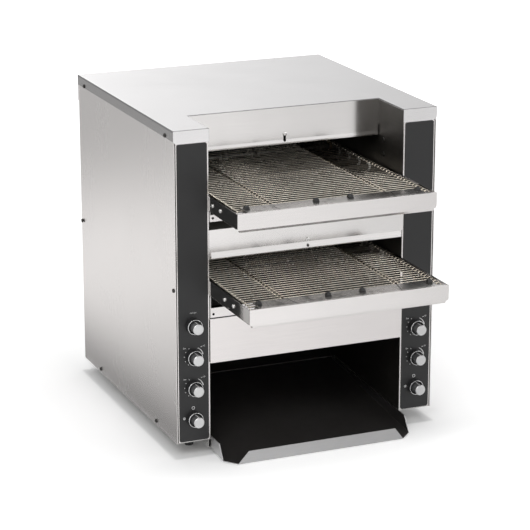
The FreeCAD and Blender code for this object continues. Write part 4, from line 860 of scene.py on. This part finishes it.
for name in knob_names:
    low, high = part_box(name)
    middle = Vector(((low.x + high.x) / 2, FACE_Y, (low.z + high.z) / 2))
    face, back_end = (FACE_Y - low.y) / MM, (FACE_Y - high.y) / MM
    grip_line = [
        (0, back_end), (SPINDLE_R, back_end), (SPINDLE_R, KNOB_ROOT), (KNOB_R - 0.7, KNOB_ROOT),
        (KNOB_R - 0.5, KNOB_ROOT + 1.0), (KNOB_R - 0.5, face - 2.6), (KNOB_R - 1.2, face - 2.2),
    ]
    disc_line = [
        (KNOB_R, face - 1.9), (KNOB_R, face - 0.7), (KNOB_R - 0.7, face), (KNOB_R - 2.6, face),
        (KNOB_R - 2.9, face - 0.25), (KNOB_R - 3.2, face), (4.6, face), (2.2, face), (0, face),
    ]
    paints = [paint[part] for part in ("knob_body", "knob_face", "knob_line")]
    grip = turned(f"{name}_grip", grip_line + disc_line, middle, SEGMENTS, paints, len(grip_line), knob_shape)
    for polygon in grip.data.polygons:
        across, out, up = (polygon.center - middle) / MM
        if polygon.material_index == 0 and up > 0 and abs(across) < LINE_HALF and out < -LINE_FROM:
            polygon.material_index = 2
    radii = grip.data.attributes.new("face_radius", "FLOAT", "POINT")
    reach = [hypot(v.co.x - middle.x, v.co.z - middle.z) for v in grip.data.vertices]
    radii.data.foreach_set("value", reach)
    dressed(grip, name, name)
    knob_places.append(middle)
print(len(knob_places), "grips of", SEGMENTS, "segments")


# %% [markdown]
# ### Rings and dial marks
# Behind each knob stands a short dark collar, dished, with a thin bright rim. The dial marks
# are printed: dots round the left of each dial, a 0 and a 10, a wedge that grows with the
# setting, and rings or ON and OFF beside the switches. Collars, rims and dots are the same
# shape many times over, so a small tree sets a copy on every point of a host mesh. A real
# print has no height to speak of, so the marks stand only a few hundredths of a millimetre
# proud.

# %% A tree that sets copies on points and can turn them to face outwards
spot_tree, entry, leave = geometry_tree("copies_on_points", [("Copy", "Object"), ("Material", "Material")])
copy = geometry(spot_tree, "ObjectInfo", {"Object": entry["Copy"]})["Geometry"]
facing = geometry(spot_tree, "InputNamedAttribute", {"Name": "outward"}, data_type="FLOAT_VECTOR")[0]
turn = node(spot_tree, "AlignRotationToVector", {"Vector": facing}, "Function", axis="Z").outputs[0]
spots = geometry(spot_tree, "InstanceOnPoints", {"Points": entry["Geometry"], "Instance": copy, "Rotation": turn})[0]
solid = geometry(spot_tree, "RealizeInstances", {0: spots})[0]
ends_painted(spot_tree, solid, entry["Material"], leave)


def spread(copy_of, name, points, material, outward=()):
    """One mesh with a copy of an object on every point, its +z outwards; the original is removed."""
    host = drawn("points", points)
    if outward:
        facing = host.data.attributes.new("outward", "FLOAT_VECTOR", "POINT")
        facing.data.foreach_set("vector", [value for direction in outward for value in direction])
    made = grown(host, name, (spot_tree, {"Copy": copy_of, "Material": material}))
    bpy.data.objects.remove(copy_of)
    return made


print("tree:", spot_tree.name)


# %% Rings behind the knobs, in millimetres
RING_SEGMENTS = 48
ORIGIN = Vector()
ring_back = (FACE_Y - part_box("knob_bezels")[1].y) / MM
RIM_OUTLINE = (
    (12.4, 8.6), (13.7, 8.6), (13.7, 9.2), (13.4, 9.9), (12.9, 10.0), (12.4, 9.6), (12.4, 8.6),
)
DISH_OUTLINE = (
    (3.1, ring_back), (4.8, ring_back), (4.8, 0), (13.9, 0), (13.5, 8.6),
    (12.4, 8.6), (11.8, 2.4), (3.1, 1.5), (3.1, ring_back),
)

for name, outline, material in (
    ("knob_ring_rims", RIM_OUTLINE, paint["chrome"]),
    ("knob_ring_dishes", DISH_OUTLINE, paint["black_plastic"]),
):
    one = turned("ring", outline, ORIGIN, RING_SEGMENTS, [material])
    dressed(spread(one, name, knob_places, material), "casing", "knob_bezels")
print(len(knob_places), "rings")


# %% Dots, bars, wedges, circles and figures, in millimetres round their own middle
PRINT = 0.05  # half a mark's thickness
DIAL_R = 17.6
WEDGE_STEPS = 8
WEDGE_THIN, WEDGE_GAIN = 0.9, 1.1
CIRCLE_SEGMENTS = 20
TEXT_SIZE_SHARE = 1.4  # a text's size over the height of its figures


def flat_prism(name, outline):
    """A thin plate: an outline of (right, up) points, drawn anticlockwise."""
    work = bmesh.new()
    front, rear = ([work.verts.new((x * MM, y * MM, z * MM)) for x, z in outline] for y in (-PRINT, PRINT))
    work.faces.new(front)
    work.faces.new(rear[::-1])
    for corners in zip(front, rear, rear[1:] + rear[:1], front[1:] + front[:1]):
        work.faces.new(corners)
    return closed(work, name)


def bar(wide, tall, slope=0.0):
    """A small printed bar."""
    half, rise, lean = wide / 2, tall / 2, tan(slope) * wide / 2
    low_edge = [(-half, -rise - lean), (half, -rise + lean)]
    return flat_prism("bar", low_edge + [(half, rise + lean), (-half, rise - lean)])


def wedge(first, last):
    """A printed arc round a knob that grows wider from its first angle to its last, clockwise from the top."""
    inner, outer = [], []
    for index in range(WEDGE_STEPS + 1):
        share = index / WEDGE_STEPS
        angle = radians(first + (last - first) * share)
        half = (WEDGE_THIN + WEDGE_GAIN * share) / 2
        for rim, radius in ((inner, DIAL_R - half), (outer, DIAL_R + half)):
            rim.append((radius * sin(angle), radius * cos(angle)))
    return flat_prism("wedge", inner + outer[::-1])


def figure(text, tall):
    """Small plain figures or letters, set flat on the plate."""
    curve = bpy.data.curves.new("figure", "FONT")
    curve.body = text
    curve.size = tall * TEXT_SIZE_SHARE * MM
    curve.align_x = curve.align_y = "CENTER"
    curve.extrude = PRINT * MM
    curve.resolution_u = 3
    written = linked("figure", curve)
    mesh = kept_mesh(written, "figure")
    bpy.data.objects.remove(written)
    for vertex in mesh.vertices:
        right, up, out = vertex.co
        vertex.co = (right, -out, up)
    return linked("figure", mesh)


def circle(radius, thick):
    """A printed circle."""
    inner = radius - thick
    outline = [(inner, -PRINT), (radius, -PRINT), (radius, PRINT), (inner, PRINT), (inner, -PRINT)]
    return turned("circle", outline, ORIGIN, CIRCLE_SEGMENTS, [paint["print_white"]])


print("five kinds of mark, each", 2 * PRINT, "mm thick")


# %% Lay the marks out beside each knob
KNOB_PITCH = 57.3
DOT_R = 0.8
DOT_ANGLES = (-145, -116, -87, -58, -30)
DOTS_RISE = 1.0


def marks_for(level):
    """What is printed round the knob of a level, lowest first: each mark, and its place right and up."""
    if level == 0:
        return [(circle(3.0, 0.9), -1.8, 20.2), (circle(2.4, 0.8), -18.6, 2.2), (bar(0.9, 2.4), -18.6, 2.2)]
    if level == 3:
        return [(figure("OFF ON", 2.4), -0.6, 23.4)]
    return [
        (figure("0", 3.0), -18.4, 17.6), (bar(2.0, 0.9), -15.6, 17.4),
        (figure("10", 3.0), 19.0, 18.4), (bar(3.0, 0.9, 0.2), 14.6, 17.6), (wedge(26, 80), 0, 0),
    ]


dots = []
loose_marks = []
lowest = min(place.z for place in knob_places)
for place in knob_places:
    level = round((place.z - lowest) / (KNOB_PITCH * MM))
    for mark, right, up in marks_for(level):
        mark.data.transform(Matrix.Translation(place + Vector((right, 0, up)) * MM))
        loose_marks.append(mark)
    for angle in map(radians, DOT_ANGLES if level in (1, 2) else ()):
        right, up = DIAL_R * sin(angle), DIAL_R * cos(angle) + DOTS_RISE
        dots.append(place + Vector((right, 0, up)) * MM)
eighths = [k * pi / 4 for k in range(8)]
disc = flat_prism("disc", [(DOT_R * cos(angle), DOT_R * sin(angle)) for angle in eighths])
dial_marks = spread(disc, "dial_marks", dots, paint["print_white"])
joined(dial_marks, loose_marks)
for polygon in dial_marks.data.polygons:
    polygon.material_index = 0
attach(dial_marks, "casing")
print(len(dots), "dots and", len(loose_marks), "other marks")


# %% [markdown]
# ## Shoes over the sprockets
# Where a sprocket stands close under the apron a small black shoe bridges the gap. It is a
# block with sloping ends and a domed rivet, so one is modelled and copied onto the places
# where the solid model has its own. The solid model keeps all shoes in one mesh, so a helper
# first finds the separate pieces in it. The screws need the same helper later.

# %% A helper that finds separate pieces
SAME_POINT = 0.001 * MM


def islands(mesh):
    """The separate pieces of a mesh from left to right, each as its points and the corners of its box."""
    work = bmesh.new()
    work.from_mesh(mesh)
    bmesh.ops.remove_doubles(work, verts=work.verts, dist=SAME_POINT)
    left = set(work.verts)
    found = []
    while left:
        group, edge = [], [left.pop()]
        while edge:
            vertex = edge.pop()
            group.append(vertex.co.copy())
            for link in vertex.link_edges:
                other = link.other_vert(vertex)
                if other in left:
                    left.remove(other)
                    edge.append(other)
        low, high = (Vector([pick(point[axis] for point in group) for axis in range(3)]) for pick in (min, max))
        found.append((group, low, high))
    work.free()
    return sorted(found, key=lambda piece: [round(value, 5) for value in piece[1]])


solid_shoes = islands(nodes["nose_shoes"].data)
print("the solid model has", len(solid_shoes), "shoes")


# %% Eight shoes
SHOE_OUTLINE = (  # shares of its depth, and of its height
    (-0.5, 0), (-0.5, 0.35), (-0.3, 0.9), (-0.18, 1), (0.18, 1), (0.3, 0.9), (0.5, 0.35), (0.5, 0),
)
SHOE_TAPER = 0.12
SHOE_LONGER = 1.1
SHOE_TALLER = 2.5 * MM
RIVET_R = 1.5 * MM


def shoe_blank(wide, deep, tall):
    """A black shoe on the apron: narrower at its top, with a rivet."""
    work = bmesh.new()
    ends = []
    for side in (-1, 1):
        ends.append([
            work.verts.new((side * wide * (0.5 - SHOE_TAPER * rise), along * deep, rise * tall))
            for along, rise in SHOE_OUTLINE
        ])
    stacked(work, ends)
    on_top = Matrix.Translation((0, 0, tall))
    bmesh.ops.create_uvsphere(work, u_segments=10, v_segments=6, radius=RIVET_R, matrix=on_top)
    return closed(work, "shoe")


shoe_places = []
for _, low, high in solid_shoes:
    shoe_places.append((low.x / 2 + high.x / 2, low.y / 2 + high.y / 2, low.z))
    shoe_size = high - low
shoe = shoe_blank(shoe_size.x, shoe_size.y * SHOE_LONGER, shoe_size.z + SHOE_TALLER)
shoes = spread(shoe, "sprocket_shoes", shoe_places, paint["black_plate"])
dressed(shoes, "casing", "nose_shoes")
print(len(shoe_places), "shoes of", [round(value / MM, 1) for value in shoe_size], "mm")


# %% [markdown]
# ## Screws
# Pan-head screws hold the sheets. The ones in the skins, the lid and the walls are
# blackened, and the ones in the rails are bright. The solid model already says where each one
# sits and which way it faces, so its separate islands are read, and the same tree sets one
# modelled head with a star-shaped drive on each seat. The skins' rear edges hold one more
# each, half way up, which the solid model lacks.

# %% Where the screws sit
HEAD_WIDE = 7.4 * MM
HEAD_TALL = 2.2 * MM
BEYOND_SHANK = 3.2 * MM  # only the head's points lie this far from the axis
SKIN_X, WALL_X = 0.24, 0.18
EDGE_SCREW_INSET = 8 * MM
NEAR_FRONT = 20 * MM
HALF_WAY_UP = (0.25, 0.36)
seats = []
for group, low, high in islands(nodes["pan_head_screws"].data):
    size = high - low
    along = max(range(3), key=lambda axis: abs(size[axis] - HEAD_WIDE))
    middle = (low + high) / 2
    axis_of = Vector([1 if axis == along else 0 for axis in range(3)])
    offs = [point - middle for point in group]
    head = [off[along] for off in offs if (off - axis_of * off[along]).length > BEYOND_SHANK]
    side = 1 if sum(head) > 0 else -1
    outward = axis_of * side
    seat = middle.copy()
    seat[along] = (high if side > 0 else low)[along] - side * HEAD_TALL
    dark = abs(seat.x) > SKIN_X or (abs(seat.x) > WALL_X and outward.x * seat.x < 0)
    seats.append((seat, outward, dark, size[along]))
skin_low, skin_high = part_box("side_panel_left")
for seat, outward, dark, length in list(seats):
    in_skin = dark and outward.x and abs(seat.x) > SKIN_X
    if in_skin and seat.y < skin_low.y + NEAR_FRONT and HALF_WAY_UP[0] < seat.z < HALF_WAY_UP[1]:
        proud = seat.x + outward.x * (skin_high.x - skin_low.x)
        seats.append((Vector((proud, skin_high.y - EDGE_SCREW_INSET, seat.z)), outward, dark, length))
seats.sort(key=lambda item: tuple(round(value, 4) for value in item[0]))
print(len(seats), "screws,", sum(1 for seat in seats if seat[2]), "of them dark")


# %% One screw
SCREW_SEGMENTS = 18
HEAD_PROFILE = ((2.0, 0), (3.7, 0), (3.7, 1.2), (3.3, 1.8), (2.4, 2.15), (1.55, 2.2))  # radius and height
STAR_WIDE, STAR_NARROW = 1.45, 1.05
STAR_HEIGHTS = (2.2, 1.1)


def screw_blank(length):
    """A pan head with a star drive on its shank, standing along +z from its seat."""
    work = bmesh.new()
    round_ring = [1.0] * SCREW_SEGMENTS
    star_ring = [STAR_WIDE if k % 3 else STAR_NARROW for k in range(SCREW_SEGMENTS)]
    shank_end = (HEAD_PROFILE[0][0], (HEAD_TALL - length) / MM)
    levels = [([radius * share for share in round_ring], height) for radius, height in (shank_end, *HEAD_PROFILE)]
    levels += [(star_ring, height) for height in STAR_HEIGHTS]
    rings = []
    for reaches, height in levels:
        ring = []
        for k, reach in enumerate(reaches):
            angle = 2 * pi * k / SCREW_SEGMENTS
            ring.append(work.verts.new((reach * MM * cos(angle), reach * MM * sin(angle), height * MM)))
        rings.append(ring)
    stacked(work, rings)
    return closed(work, "screw")


print("a screw of", SCREW_SEGMENTS, "segments")


# %% A screw on every seat
for name, wanted, material in (("dark_screws", True, "screw_dark"), ("bright_screws", False, "bright_steel")):
    chosen = [seat for seat in seats if seat[2] == wanted]
    pieces = []
    for length in sorted({round(seat[3], 5) for seat in chosen}):
        places, outward = zip(*[seat[:2] for seat in chosen if round(seat[3], 5) == length])
        pieces.append(spread(screw_blank(length), name, places, paint[material], outward))
    joined(pieces[0], pieces[1:])
    dressed(pieces[0], "casing", "pan_head_screws")


# %% [markdown]
# ## Catch tray
# The tray is one sheet of steel with a black non-stick coat inside and bare satin metal
# outside, so one material can't serve it. A merged copy of its solid takes a second material
# on the faces that look outwards, and on its cut rims.

# %% Coat the tray's inside only
TRAY_SLOPE = 0.103  # rise of the floor over its run
TURNED = 0.5  # a normal's part along an axis that counts as facing that way
WALL_THICK = 2.0 * MM
low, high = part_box("catch_tray")


def bare(face, floor_front):
    """1 for the tray's bare faces, 0 for coated ones."""
    normal, middle = face.normal, face.calc_center_median()
    if abs(middle.x) > high.x - WALL_THICK:
        return 0 if normal.x * middle.x < 0 and abs(normal.x) > TURNED else 1
    if min(normal.y, normal.z) < -TURNED:
        return 1
    floor_here = floor_front + (middle.y - low.y) * TRAY_SLOPE
    return 1 if normal.z > TURNED and middle.z > floor_here + WALL_THICK else 0


mesh = nodes["catch_tray"].data.copy()
mesh.name = "coated_tray"
mesh.materials.clear()
mesh.materials.append(paint["nonstick"])
mesh.materials.append(paint["lip_steel"])
work = bmesh.new()
work.from_mesh(mesh)
bmesh.ops.remove_doubles(work, verts=work.verts, dist=SAME_POINT)
lowest = min(vertex.co.z for vertex in work.verts)
for face in work.faces:
    face.material_index = bare(face, lowest)
work.to_mesh(mesh)
work.free()
dressed(linked("coated_tray", mesh), "tray", "catch_tray")
print("tray faces:", len(mesh.polygons), "bare:", sum(polygon.material_index for polygon in mesh.polygons))
